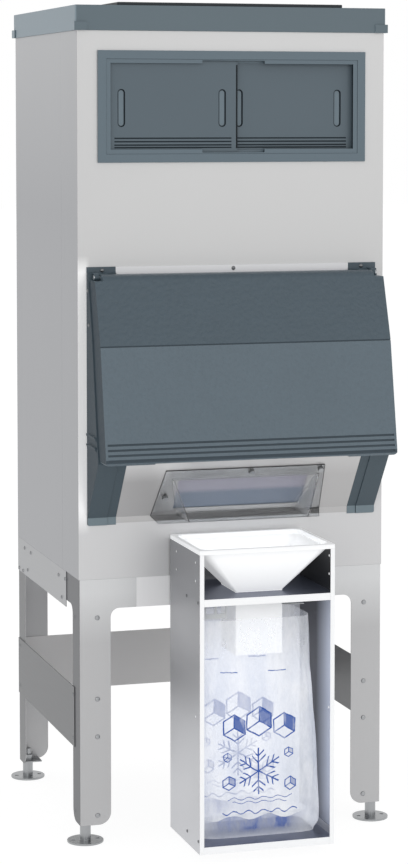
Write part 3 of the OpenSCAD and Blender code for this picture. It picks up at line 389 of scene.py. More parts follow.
def inner_wall_finish():
    """Steel of the bagging cabinet's inside, with painted shade: dark deep inside beside the funnel and the
    bag and above the shelf, lighter at its front.
    """
    steel = Finish("shaded_inner_wall_steel", "steel_bagger", {"Metallic": 0.5})
    streaks = steel.noise(UPRIGHT_GRAIN, detail=4.0)
    ragged_depth = steel.along("Y") + streaks * RAGGED_DEPTH
    depth_shade_below_shelf = steel.blend(ragged_depth.ramp(*BAGGER_DEPTH, 0.0, 1.0), srgb("d3d9e6"), srgb("3a3b41"))
    shade_above_shelf = steel.height().ramp(*SHELF_TOP, 0.0, 1.0)
    steel.paint("Base Color", steel.blend(shade_above_shelf, depth_shade_below_shelf, srgb("37383b")))
    steel.paint("Roughness", 0.3 + streaks * GRAIN_ROUGHNESS)
    steel.relief(streaks, GRAIN_DEPTH, GRAIN_STRENGTH)
    return steel


front_steel = front_finish()
sill_steel = sill_finish()
bagger_rear_steel = bagger_rear_finish()
shaded_inner_wall_steel = inner_wall_finish()

# Plastic and rubber, each with the width and depth of its skin's dimples

PLASTIC_CLOUDS = (7.0, 7.0, 7.0)
PEEL_STRENGTH = 0.8
PEEL_ROUGHNESS = 0.1
COVER_PEEL = (3 * MM, 0.08 * MM)
WINDOW_PEEL = (3 * MM, 0.06 * MM)
DOOR_PEEL = (10 * MM, 3 * MM)
DOOR_END_PEEL = (6 * MM, 0.5 * MM)
CHEEK_PEEL = (6 * MM, 0.4 * MM)
CHEEK_FOOT_PEEL = (6 * MM, 0.2 * MM)
LINING_PEEL = (4 * MM, 0.1 * MM)
BRACKET_PEEL = (3 * MM, 0.1 * MM)
WHITE_PEEL = (4 * MM, 0.05 * MM)
TANK_PEEL = (6 * MM, 0.1 * MM)
FOAM_CELLS = (2 * MM, 0.3 * MM)
RUBBER_PEEL = (2 * MM, 0.1 * MM)
GATE_CLOUDS = (9.0, 9.0, 9.0)
GATE_RELIEF = 0.2 * MM
SCUFF_CELLS = (120.0, 120.0, 40.0)
SCUFF_DEPTH = 0.03 * MM


def moulded_plastic(name, slot, code, peel, rough, spread=0.05, ior=1.46, glow=0.0):
    """Moulded plastic with an orange-peel skin and a faint cloudiness."""
    colour = srgb(code)
    dimple_width, dimple_depth = peel
    plastic = Finish(name, slot, {"IOR": ior, "Emission Color": colour, "Emission Strength": glow})
    dimples = plastic.noise((1 / dimple_width,) * 3, detail=2.0)
    clouds = plastic.noise(PLASTIC_CLOUDS, detail=3.0)
    tone = dimples * 0.6 + clouds * 0.4
    plastic.paint("Base Color", plastic.blend(tone, scaled(colour, 1 - spread), scaled(colour, 1 + spread)))
    plastic.paint("Roughness", rough + (dimples - 0.5) * PEEL_ROUGHNESS)
    plastic.relief(dimples, dimple_depth, PEEL_STRENGTH)
    return plastic


cover_skin = moulded_plastic("cover_skin", "cover_plastic", "66757d", COVER_PEEL, 0.42, spread=0.04)
# A lit copy of the cover's plastic for its sides: painted light
lit_cover_side_skin = moulded_plastic(
    "lit_cover_side_skin", "cover_plastic", "8e9ea8", COVER_PEEL, 0.42, spread=0.04
)
# The curb in a far darker copy of the cover's plastic: painted shade
shaded_curb_skin = moulded_plastic("shaded_curb_skin", "cover_plastic", "1c252c", COVER_PEEL, 0.45)
window_skin = moulded_plastic("window_skin", "cover_plastic", "687882", WINDOW_PEEL, 0.4)
pane_skin = moulded_plastic("pane_skin", "hood_plastic", "5e6c75", WINDOW_PEEL, 0.45)
# Darker copies for the grooves, slot walls and frame steps, and a lighter one for the slots' floors:
# painted shade and a painted highlight
shaded_slot_skin = moulded_plastic("shaded_slot_skin", "hood_plastic", "222d34", WINDOW_PEEL, 0.5, ior=1.3)
lit_slot_floor_skin = moulded_plastic("lit_slot_floor_skin", "hood_plastic", "72828c", WINDOW_PEEL, 0.4)

door_skin = moulded_plastic("door_skin", "hood_plastic", "62717b", DOOR_PEEL, 0.4, spread=0.14)
# Shaded copies of the door's plastic for its upper face, its ends and its grooves: painted shade
shaded_door_top_skin = moulded_plastic("shaded_door_top_skin", "hood_plastic", "4f5e68", DOOR_PEEL, 0.4, spread=0.14)
shaded_door_side_skin = moulded_plastic("shaded_door_side_skin", "hood_plastic", "35434d", DOOR_END_PEEL, 0.5, ior=1.2)
shaded_groove_skin = moulded_plastic("shaded_groove_skin", "hood_plastic", "3a4852", LINING_PEEL, 0.5)
door_lining = moulded_plastic("door_lining", "hood_plastic", "73818a", LINING_PEEL, 0.45)
cheek_skin = moulded_plastic("cheek_skin", "hood_plastic", "4a5962", CHEEK_PEEL, 0.45, spread=0.07)
# Shaded and lit copies of the cheek's plastic for its sides and its upright foot: painted shade and light
shaded_cheek_side_skin = moulded_plastic("shaded_cheek_side_skin", "hood_plastic", "33424c", CHEEK_PEEL, 0.5, ior=1.25)
lit_cheek_foot_skin = moulded_plastic("lit_cheek_foot_skin", "hood_plastic", "7e8e96", CHEEK_FOOT_PEEL, 0.45)
bracket_skin = moulded_plastic("bracket_skin", "hood_plastic", "4e5c65", BRACKET_PEEL, 0.45)

white_skin = moulded_plastic("white_skin", "white_plastic", "f3f4f4", WHITE_PEEL, 0.35, spread=0.015)
hanger_skin = moulded_plastic("hanger_skin", "white_plastic", "e0e3e5", WHITE_PEEL, 0.4, spread=0.02)
liner_skin = moulded_plastic("liner_skin", "liner_plastic", "e6e9ea", TANK_PEEL, 0.4, spread=0.02)
foam_skin = moulded_plastic("foam_skin", "foam", "e6d9a8", FOAM_CELLS, 0.85)
gasket_skin = moulded_plastic("gasket_skin", "gasket_rubber", "2f3437", RUBBER_PEEL, 0.6)
# A near-black for the painted shadow strip in the gap between the window doors
shadow_strip_skin = moulded_plastic("shadow_strip_skin", "gasket_rubber", "12181c", RUBBER_PEEL, 0.6, ior=1.3)
# A dark plastic on the clear chute's narrow edges: painted shade
shaded_chute_edge = moulded_plastic("shaded_chute_edge", "clear_plastic", "303236", WHITE_PEEL, 0.3)


def funnel_finish():
    """White plastic with painted light: a faint glow on the cone, less on the pipe below and the mouth
    above.
    """
    funnel = moulded_plastic(
        "funnel_skin", "white_plastic", "f7f8f9", WHITE_PEEL, 0.35, spread=0.008, glow=0.42
    )
    pipe_and_cone = funnel.height().ramp(*PIPE_HEAD, 0.6, 1.0)
    mouth = funnel.height().ramp(*FUNNEL_MOUTH, 0.0, 0.55)
    lit_where(funnel, pipe_and_cone - mouth, "f7f8f9")
    return funnel


def gate_finish():
    """Lavender plastic of the ice gates, with painted shade: darker and bluer towards the foot of the
    slanted one.
    """
    gate = Finish("gate_skin", "gate_plastic", {"IOR": 1.46})
    cloud = gate.noise(GATE_CLOUDS, detail=2.0)
    foot_shade_and_cloud = gate.height().ramp(*GATE_FOOT, 1.0, 0.0) * 0.8 + cloud * 0.2
    gate.paint("Base Color", gate.blend(foot_shade_and_cloud, srgb("b0acba"), srgb("6e7d90")))
    gate.paint("Roughness", 0.3 + cloud * 0.1)
    gate.relief(cloud, GATE_RELIEF)
    return gate


def clear_finish():
    """Clear plastic of the chute, with fine scuffs."""
    clear = Finish(
        "clear_sheet",
        "clear_plastic",
        {"Base Color": srgb("e8eaec"), "Transmission Weight": 1.0, "IOR": 1.3},
    )
    scuffs = clear.noise(SCUFF_CELLS, detail=5.0)
    clear.paint("Roughness", 0.02 + scuffs * 0.04)
    clear.paint("Alpha", 0.7 + scuffs * 0.08)
    clear.relief(scuffs, SCUFF_DEPTH, 0.2)
    return clear


funnel_skin = funnel_finish()
gate_skin = gate_finish()
clear_plastic = clear_finish()

# Film of the bag, with a blue print whose places and sizes are in millimetres

CREASE_CELLS = (16.0, 16.0, 7.0)
RIPPLE_CELLS = (70.0, 70.0, 26.0)
FILM_RELIEF = 6 * MM
PRINT_WAVER = 12 * MM
PRINT_LEFT = (bag_low.x + bag_high.x) / 2 - 7 * MM
PRINT_FOOT = bag_low.z - 42 * MM
LINE_SOFTNESS = 0.4 * MM
# across, up, radius, half the line's width
SNOWFLAKE = (-2, 202, 54, 1.7)
ARM_ANGLES = (30, 90, 150)
HUB_SHARE = 3
# where a pair of twigs leaves its arm and how far it reaches, as shares of the radius
TWIGS = ((0.4, 0.27), (0.68, 0.2))
TWIG_SLOPE = 1.1
TWIG_NARROWING = 0.67
SIDE_ANGLES = (0, 60, 120)
CORNER_ANGLES = (90, 210, 330)
CUBE_STROKE, CUBE_STROKE_GROWTH = 0.9, 0.03
# across, up, half the width, share of ink on the shaded face
CUBES = (
    (-62, 306, 27, 0.95),
    (-1, 318, 29, 0.9),
    (60, 304, 26, 0.95),
    (-76, 176, 14, 0.7),
    (74, 166, 13, 0.7),
    (-80, 236, 9, 0.5),
    (70, 240, 10, 0.5),
)
# up, half the length, height, half the line's width
WAVES = (
    (138, 78, 3.0, 0.9),
    (129, 66, 2.6, 0.8),
    (106, 90, 4.0, 1.4),
)
WAVE_LENGTH = 36 * MM
DASHES_ACROSS = (-74, 44)
DASH_UP, DASH_HALF_LENGTH, DASH_STROKE = 437 * MM, 21 * MM, 1.2 * MM
DRIFT_TOP, DRIFT_SWELL, DRIFT_SWELLS = 94 * MM, 5 * MM, 70
DRIFT_FOOT = (40 * MM, 66 * MM)
DRIFT_MIDDLE = -10 * MM
DRIFT_ENDS = (80 * MM, 128 * MM)


def in_line(distance, width):
    """1 where a distance is below a width, else 0, with a soft edge."""
    return distance.ramp(width - LINE_SOFTNESS, width + LINE_SOFTNESS, 1.0, 0.0)


def turned(across, up, degrees):
    """A place seen along a direction: how far it lies along it and beside it."""
    angle = math.radians(degrees)
    cosine, sine = math.cos(angle), math.sin(angle)
    return across * cosine + up * sine, up * cosine - across * sine


def snowflake(across, up, radius, stroke):
    """Six arms, each with two pairs of twigs."""
    ink = in_line(across * across + up * up, (HUB_SHARE * stroke) ** 2)
    for degrees in ARM_ANGLES:
        along, beside = (abs(part) for part in turned(across, up, degrees))
        ink = ink.larger(in_line(beside.larger(along - radius), stroke))
        for root, reach in TWIGS:
            twig = abs(beside - (along - radius * root) * TWIG_SLOPE) * TWIG_NARROWING
            ink = ink.larger(in_line(twig.larger(beside - radius * reach), stroke))
    return ink


def ice_cube(across, up, half, stroke, shade):
    """A cube seen from one corner: outline, three inner edges and one face shaded."""
    sides = [abs(turned(across, up, degrees)[0]) for degrees in SIDE_ANGLES]
    rim = sides[0].larger(sides[1]).larger(sides[2]) - half
    ink = in_line(abs(rim), stroke)
    for degrees in CORNER_ANGLES:
        along, beside = turned(across, up, degrees)
        ink = ink.larger(in_line(abs(beside).larger(0.0 - along).larger(rim), stroke))
    above_edge = turned(across, up, CORNER_ANGLES[-1])[1]
    right_face = (0.0 - across).larger(above_edge * -1.0).larger(rim)
    return ink.larger(in_line(right_face, 0.0) * shade)


def wave_line(across, up, half_length, height, stroke):
    swing = (across * (math.tau / WAVE_LENGTH)).sine() * height
    return in_line(abs(up - swing).larger(abs(across) - half_length), stroke)


def snow_drift(across, up, blotches):
    """A blotchy heap along the bag's foot, with a wavy top and soft ends."""
    below_top = in_line(up - DRIFT_TOP - (across * DRIFT_SWELLS).sine() * DRIFT_SWELL, 0.0)
    above_foot = up.ramp(*DRIFT_FOOT, 0.0, 0.95)
    between_ends = abs(across - DRIFT_MIDDLE).ramp(*DRIFT_ENDS, 1.0, 0.0)
    return below_top * above_foot * (blotches * between_ends)


def bag_print(across, up, blotches):
    """A plain winter pattern in blue ink: cubes, a snowflake, waves and a snow drift."""
    x, z, radius, stroke = (length * MM for length in SNOWFLAKE)
    ink = snowflake(across - x, up - z, radius, stroke)
    for x, z, half, shade in CUBES:
        stroke = (CUBE_STROKE + half * CUBE_STROKE_GROWTH) * MM
        ink = ink.larger(ice_cube(across - x * MM, up - z * MM, half * MM, stroke, shade))
    for wave in WAVES:
        z, half_length, height, stroke = (length * MM for length in wave)
        ink = ink.larger(wave_line(across, up - z, half_length, height, stroke))
    ink = ink.larger(snow_drift(across, up, blotches))
    for x in DASHES_ACROSS:
        off_dash = abs(up - DASH_UP).larger(abs(across - x * MM) - DASH_HALF_LENGTH)
        ink = ink.larger(in_line(off_dash, DASH_STROKE))
    return ink


def film_finish():
    """Milky film with creases and blue ink, clearer towards its open top, which glows faintly in its own
    colour: painted light.
    """
    film = Finish("bag_film", "bag_film", {"IOR": 1.4, "Emission Strength": 0.36})
    creases = film.noise(CREASE_CELLS, detail=6.0, roughness=0.62)
    ripples = film.noise(RIPPLE_CELLS, detail=3.0)
    waver = (creases - 0.5) * PRINT_WAVER
    across = film.along("X") - PRINT_LEFT + waver
    up = film.height() - PRINT_FOOT + waver
    blotches = creases.ramp(0.35, 0.65, 0.25, 0.95)
    ink = bag_print(across, up, blotches) * ripples.ramp(0.3, 0.5, 0.75, 1.0)
    haze = film.blend(creases.ramp(0.35, 0.65, 0.0, 1.0), srgb("e6ebf5"), srgb("fbfcfe"))
    colour = film.blend(ink, haze, srgb("0b4597"))
    film.paint("Base Color", colour)
    film.paint("Emission Color", colour)
    film.paint("Roughness", 0.2 + ripples * 0.15)
    milky = film.height().ramp(*FILM_HEAD, 0.5, 0.28) + (creases - 0.5) * 0.5
    film.paint("Alpha", milky.larger(ink * 0.97))
    film.relief(creases * 0.8 + ripples * 0.2, FILM_RELIEF, 0.8)
    return film


bag_film = film_finish()

# Pieces


def link_piece(name, shape, finishes, body, stands_for=()):
    """Makes a bmesh a piece that rides on a body, shaded smooth between its sharp edges."""
    for face in shape.faces:
        face.smooth = True
    for edge in shape.edges:
        edge.smooth = len(edge.link_faces) == 2 and edge.calc_face_angle() < SHARP_ANGLE
    mesh = bpy.data.meshes.new(name)
    shape.to_mesh(mesh)
    shape.free()
    for finish in finishes:
        mesh.materials.append(finish.material)
    piece = bpy.data.objects.new(name, mesh)
    bpy.context.scene.collection.objects.link(piece)
    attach(piece, body)
    if stands_for:
        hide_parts(*stands_for)
    normals = piece.modifiers.new("Normals", "WEIGHTED_NORMAL")
    normals.keep_sharp = True


def body_of(node):
    return frame["nodes"][node]["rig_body"]


def merged(node):
    """A copy of a CAD node's mesh with its triangles joined into faces."""
    shape = bmesh.new()
    shape.from_mesh(frame["nodes"][node].data)
    bmesh.ops.remove_doubles(shape, verts=shape.verts, dist=WELD)
    bmesh.ops.dissolve_limit(
        shape,
        angle_limit=FLAT_ANGLE,
        use_dissolve_boundaries=False,
        verts=shape.verts,
        edges=shape.edges,
    )
    return shape


def round_edges(shape, radius, segments=2):
    """Rounds every sharp edge."""
    edges = [e for e in shape.edges if len(e.link_faces) == 2 and e.calc_face_angle() > EDGE_ANGLE]
    bmesh.ops.bevel(
        shape,
        geom=edges,
        offset=radius,
        offset_type="OFFSET",
        affect="EDGES",
        segments=segments,
        profile=0.5,
        material=-1,
        clamp_overlap=True,
    )


def link_in_place(node, shape, finishes, pick=None):
    """Links a worked copy of a CAD node in its place; pick gives the number of a face's finish."""
    if pick:
        for face in shape.faces:
            face.material_index = pick(face)
    link_piece(node + "_soft", shape, finishes, body_of(node), [node])


def soften(radius, finishes, *nodes, pick=None, segments=2):
    """Replaces CAD nodes by pieces of the same shape with rounded edges."""
    for node in nodes:
        shape = merged(node)
        round_edges(shape, radius, segments)
        link_in_place(node, shape, finishes, pick)


# Faces that take another finish than the rest of their piece, mostly a shaded or lit copy of it: painted
# shade and painted light

SQUARE_ON = 0.7
THIN_FACE = 1.6 * MM


def faces_side(face):
    return 1 if abs(face.normal.x) > SQUARE_ON else 0


def faces_left(face):
    return 1 if face.normal.x < -SQUARE_ON else 0


def faces_front(face):
    return 1 if face.normal.y < -SQUARE_ON else 0


def thin_face(face):
    """Marks the narrow faces at the edges of a sheet."""
    return 1 if face.calc_area() < THIN_FACE * face.calc_perimeter() else 0


def within(box, place, margin):
    """Tells whether a place lies inside a box's outline as seen from the front, by a margin."""
    low, high = box
    across = low.x + margin < place.x < high.x - margin
    return across and low.z + margin < place.z < high.z - margin


WINDOW_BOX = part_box("window_frame")
WINDOW_RIM = 3 * MM
FLAT_FRONT = 0.9


def frame_step(face):
    """Marks the narrow faces between the window frame's steps, which take painted shade."""
    inner = within(WINDOW_BOX, face.calc_center_median(), WINDOW_RIM)
    return 1 if inner and abs(face.normal.y) < FLAT_FRONT else 0


PANE_RIM = 2 * MM
GROOVE_FRONT = 0.5 * MM
SLOT_FLOOR = 3.9 * MM
SLOT_BORDER = 2.8 * MM


def pane_part(node):
    """Marks the faces behind a sliding door's front: 1 in its grooves, 2 on its finger slots' floors; 1
    takes painted shade and 2 a painted highlight.
    """
    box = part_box(node)
    front, rear = box[0].y, box[1].y - PANE_RIM

    def pick(face):
        place = face.calc_center_median()
        inner = within(box, place, PANE_RIM) and place.y < rear
        if inner and place.y > front + SLOT_FLOOR:
            return 1 if thin_face(face) else 2
        return 1 if inner and place.y > front + GROOVE_FRONT else 0

    return pick


def sliding_pane(node):
    """A sliding door whose finger slots have painted shade as a dark border round a floor with a painted
    highlight.
    """
    shape = merged(node)
    pick = pane_part(node)
    floors = [face for face in shape.faces if pick(face) == 2]
    bmesh.ops.inset_region(shape, faces=floors, thickness=SLOT_BORDER)
    round_edges(shape, FINE_EDGE)
    link_in_place(node, shape, [pane_skin, shaded_slot_skin, lit_slot_floor_skin], pick)


DOOR_LOW = Vector((0, door_low.y, door_low.z + 14 * MM))
DOOR_BEND = Vector((0, door_low.y + 48 * MM, door_low.z + 271 * MM))
DOOR_END = door_high.x - 1 * MM
GROOVE_DEPTHS = (0.6 * MM, 3 * MM)
GROOVE_LEVELS = (DOOR_LOW.z - 5 * MM, DOOR_BEND.z + 3 * MM)
TOWARDS_FRONT = 0.2


def door_part(face):
    """Marks the main door's grooves, its upper face and its ends, which take shaded copies of its finish:
    painted shade.
    """
    place = face.calc_center_median()
    run = (DOOR_BEND - DOOR_LOW).normalized()
    outward = Vector((0, -run.z, run.y))
    depth = (DOOR_LOW - place).dot(outward)
    if abs(face.normal.x) > SQUARE_ON and abs(place.x) > DOOR_END:
        return 3
    if GROOVE_DEPTHS[0] < depth < GROOVE_DEPTHS[1] and GROOVE_LEVELS[0] < place.z < GROOVE_LEVELS[1]:
        return 1
    return 2 if place.z > DOOR_BEND.z and face.normal.y < -TOWARDS_FRONT else 0


CHEEK_FOOT = cheek_low.z + 20 * MM


def cheek_part(face):
    """Marks a cheek's sides, which take a shaded copy of its finish, and its upright foot, which takes a
    lit copy: painted shade and light.
    """
    if abs(face.normal.x) > SQUARE_ON:
        return 1
    return 2 if face.normal.y < -SQUARE_ON and face.calc_center_median().z < CHEEK_FOOT else 0


BAGGER_MIDDLE = sum(corner.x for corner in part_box("bagger_floor")) / 2


def wall_part(face):
    """Marks the front and the inner faces of the bagging cabinet's walls, for a painted highlight on the
    front and painted shade inside.
    """
    inward = face.normal.x * (BAGGER_MIDDLE - face.calc_center_median().x)
    return 2 if inward > 0 and abs(face.normal.x) > SQUARE_ON else faces_front(face)


def level_sheet_part(face):
    """Marks the front and the top of the bagging cabinet's floor and shelf, for a painted highlight on the
    front and painted shade on top.
    """
    return 2 if face.normal.z > SQUARE_ON else faces_front(face)


# Radii of the rounded edges

RIVET_EDGE = 0.3 * MM
FINE_EDGE = 0.4 * MM
SHEET_EDGE = 0.5 * MM
RAIL_EDGE = 0.6 * MM
PANEL_EDGE = 0.7 * MM
LEG_EDGE = 0.8 * MM
GASKET_EDGE = 1.0 * MM
CHEEK_EDGE = 1.2 * MM
MOULDED_EDGE = 1.5 * MM
COVER_EDGE = 2.4 * MM

# Cabinet

# The sides of the cover and its clips take the lit copy: painted light
soften(COVER_EDGE, [cover_skin, lit_cover_side_skin], "top_cover", pick=faces_side, segments=3)
soften(MOULDED_EDGE, [shaded_curb_skin], "top_curb")
soften(LEG_EDGE, [cover_skin, lit_cover_side_skin], "cover_clips", pick=faces_side)
# The front's returns take the shaded side steel: painted shade
soften(PANEL_EDGE, [front_steel, shaded_side_steel], "front_panel", pick=faces_side)
soften(SHEET_EDGE, [shaded_side_steel], "left_side_panel", "right_side_panel")
soften(PANEL_EDGE, [shaded_side_steel], "back_panel")
soften(SHEET_EDGE, [shaded_side_steel], "base_pan")
soften(SHEET_EDGE, [white_skin], "drain_pipe")
soften(LEG_EDGE, [white_skin], "drain_nut")
soften(SHEET_EDGE, [foam_skin], "foam_insulation")
soften(MOULDED_EDGE, [liner_skin], "liner")

# Stand

# The legs' left faces take shaded copies of their steel: painted shade
soften(LEG_EDGE, [stand_steel, shaded_leg_side_steel], "leg_front_left", "leg_front_right", pick=faces_left)
soften(LEG_EDGE, [stand_steel, shaded_rear_side_steel], "leg_rear_left", "leg_rear_right", pick=faces_left)
soften(RAIL_EDGE, [apron_steel], "front_apron", "rear_apron")
soften(RAIL_EDGE, [shaded_stand_side_steel], "left_apron", "right_apron")
soften(RAIL_EDGE, [shaded_panel_steel], "lower_left_panel", "lower_right_panel")
soften(RAIL_EDGE, [rear_panel_steel], "lower_rear_panel")
soften(SHEET_EDGE, [plain_steel], "foot_sockets")
soften(LEG_EDGE, [plain_steel], "foot_front_left", "foot_front_right", "foot_rear_left", "foot_rear_right")
# Rivet faces that look sideways take the dark steel as painted shade
soften(RIVET_EDGE, [plain_steel, dark_and_shaded_steel], "stand_rivets", pick=faces_side)

# Window

soften(LEG_EDGE, [window_skin, shaded_slot_skin], "window_frame", pick=frame_step)
for pane in ("window_door_left", "window_door_right"):
    sliding_pane(pane)

# Size of the dark strip painted as the shadow in the gap between the window doors
SHADOW_STRIP_WIDTH, SHADOW_STRIP_PROUD, SHADOW_STRIP_INSET, SHADOW_STRIP_MARGIN = 3.6 * MM, 0.3 * MM, 0.3 * MM, 9 * MM


def painted_shadow_strip():
    """A dark strip down the left door's inner edge, just proud of its front: a painted shadow of the gap
    between the doors.
    """
    low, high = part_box("window_door_left")
    made = bmesh.new()
    middle = (high.x - SHADOW_STRIP_WIDTH / 2 - SHADOW_STRIP_INSET, low.y, (low.z + high.z) / 2)
    size = (SHADOW_STRIP_WIDTH, 2 * SHADOW_STRIP_PROUD, high.z - low.z - 2 * SHADOW_STRIP_MARGIN)
    bmesh.ops.create_cube(made, size=1, matrix=Matrix.Translation(middle) @ Matrix.Diagonal((*size, 1)))
    link_piece("painted_shadow_strip", made, [shadow_strip_skin], "window_left")


painted_shadow_strip()

# Hood

soften(
    CHEEK_EDGE, [cheek_skin, shaded_cheek_side_skin, lit_cheek_foot_skin], "cheek_left", "cheek_right", pick=cheek_part
)
soften(RAIL_EDGE, [door_skin, shaded_groove_skin, shaded_door_top_skin, shaded_door_side_skin], "main_door", pick=door_part)
soften(SHEET_EDGE, [door_lining], "door_back")
soften(GASKET_EDGE, [gasket_skin], "door_gasket")
soften(RAIL_EDGE, [strip_steel], "top_strip")
soften(RAIL_EDGE, [bracket_skin], "hinge_brackets")
soften(SHEET_EDGE, [chrome_steel], "hinge_pins")
soften(RIVET_EDGE, [dark_and_shaded_steel], "hood_screws")
soften(SHEET_EDGE, [sill_steel], "sill")
soften(RAIL_EDGE, [gate_skin], "ice_gate")
soften(SHEET_EDGE, [white_skin], "gate_tracks")
soften(RAIL_EDGE, [gate_skin], "chute_gate")
soften(FINE_EDGE, [white_skin], "chute_rails")
# The clear chute's narrow edge faces take the dark plastic: painted shade
soften(FINE_EDGE, [clear_plastic, shaded_chute_edge], "spout", pick=thin_face)

# Bagging cabinet

soften(FINE_EDGE, [bagger_steel], "hanger_rail")
soften(
    FINE_EDGE,
    [bagger_steel, painted_edge_highlight, shaded_inner_wall_steel],
    "bagger_wall_left",
    "bagger_wall_right",
    pick=wall_part,
)
soften(FINE_EDGE, [bagger_steel, bagger_rear_steel], "bagger_back", pick=faces_front)
soften(
    FINE_EDGE,
    [bagger_steel, painted_edge_highlight, shaded_floor_steel],
    "bagger_floor",
    "bagger_shelf",
    pick=level_sheet_part,
)
soften(RIVET_EDGE, [hanger_skin], "bag_hangers")
soften(RIVET_EDGE, [dark_and_shaded_steel], "bagger_rivets")
soften(MOULDED_EDGE, [funnel_skin], "funnel")

# Thumb screws

SILL_SLOPE = math.radians(54)
HEAD_RADIUS, HEAD_HEIGHT, SHANK_RADIUS = 7 * MM, 8 * MM, 2.5 * MM
RIM_WIDTH, RIM_HEIGHT = 1.4 * MM, 0.8 * MM
KNURLS = 24
KNURL_DEPTH = 0.07
SHANK_SIDES = 24


def knurled_head(made):
    """Adds a head that stands on the origin, with a knurled side and a raised rim."""
    ring = bmesh.ops.create_circle(made, cap_ends=True, radius=HEAD_RADIUS, segments=2 * KNURLS)["verts"]
    bmesh.ops.scale(made, verts=ring[::2], vec=(1 - KNURL_DEPTH, 1 - KNURL_DEPTH, 1))
    raised = bmesh.ops.extrude_face_region(made, geom=made.faces[:])["geom"]
    lifted = [part for part in raised if isinstance(part, bmesh.types.BMVert)]
    bmesh.ops.translate(made, verts=lifted, vec=(0, 0, HEAD_HEIGHT))
    cap = [part for part in raised if isinstance(part, bmesh.types.BMFace)]
    bmesh.ops.inset_region(made, faces=cap, thickness=RIM_WIDTH)
    bmesh.ops.translate(made, verts=list({v for f in cap for v in f.verts}), vec=(0, 0, -RIM_HEIGHT))


def thumb_screw(node):
    """A knurled head on a plain shank, in its CAD node's place."""
    low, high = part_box(node)
    turn = Matrix.Rotation(math.pi - SILL_SLOPE, 4, "X")
    axis = turn @ Vector((0, 0, 1))
    heights = [vert.co.dot(axis) for vert in frame["nodes"][node].data.vertices]
    length = max(heights) - min(heights)
    centre = (low + high) / 2
    made = bmesh.new()
    knurled_head(made)
    bmesh.ops.create_cone(
        made,
        cap_ends=True,
        segments=SHANK_SIDES,
        radius1=SHANK_RADIUS,
        radius2=SHANK_RADIUS,
        depth=length - HEAD_HEIGHT,
        matrix=Matrix.Translation((0, 0, (HEAD_HEIGHT - length) / 2)),
    )
    head_foot = centre + axis * (max(heights) - centre.dot(axis) - HEAD_HEIGHT)
    made.transform(Matrix.Translation(head_foot) @ turn)
    bmesh.ops.recalc_face_normals(made, faces=made.faces)
    link_piece(node + "_knurled", made, [plain_steel], body_of(node), [node])


for screw in ("thumb_screw_left", "thumb_screw_top", "thumb_screw_right"):
    thumb_screw(screw)

# Film bag

BAG_ROWS = 170
BAG_COLUMNS = 260
BAG_SQUARENESS = 0.3
BAG_SEAM = 0.75 * math.pi
BAG_CLEARANCE = 1 * MM
BAG_SLACK = 4 * MM
SIDE_LEAN, FRONT_LEAN, REAR_LEAN = 26 * MM, 3 * MM, 4 * MM
FOOT_TUCK, FOOT_HEIGHT, BELLY_START = 11 * MM, 0.07, 0.12
FOLD_COUNT = 22
FOLD_SEED = 4
FOLD_WIDTHS = (0.012, 0.04)
FOLD_SHARES = (0.3, 1)
FOLD_WANDER, WANDER_UP, WANDER_ROUND = 0.05, 5, 9
FOOT_SHARE = 0.2
FOLD_MIX = 0.6
FOLD_DEPTH = 0.06
# each row of crinkles: how close they stand round the bag, and how they slant as they rise
CRINKLES = ((60, 9), (96, -17))
CRINKLE_DEPTH = 0.004
RIM_REACH = 5 * MM


def smooth_step(low, high, value):
    t = min(1.0, max(0.0, (value - low) / (high - low)))
    return t * t * (3 - 2 * t)


def bag_limits(height):
    """Left, right, front and rear of the bag at a height from 0 to 1."""
    belly = smooth_step(0, BELLY_START, height) * (1 - smooth_step(BELLY_START, 1.0, height))
    foot = FOOT_TUCK * (1 - smooth_step(0, FOOT_HEIGHT, height)) ** 2
    inset = BAG_SLACK * (1 - belly) + foot
    left = bag_low.x + inset
    right = bag_high.x - inset - SIDE_LEAN * height
    front = bag_low.y + inset + FRONT_LEAN * height
    rear = bag_high.y - inset - REAR_LEAN * height
    return left, right, front, rear


def fold_share(folds, around, height):
    """How deep the folds are at a place round the bag, at a height from 0 to 1."""
    folded = 0.0
    for place, width, depth in folds:
        shift = FOLD_WANDER * math.sin(height * WANDER_UP + place * WANDER_ROUND)
        off = abs((around - place + 0.5 + shift) % 1.0 - 0.5)
        folded += depth * math.exp(-((off / width) ** 2)) * (FOOT_SHARE + (1 - FOOT_SHARE) * height)
    return min(1.0, folded * FOLD_MIX)


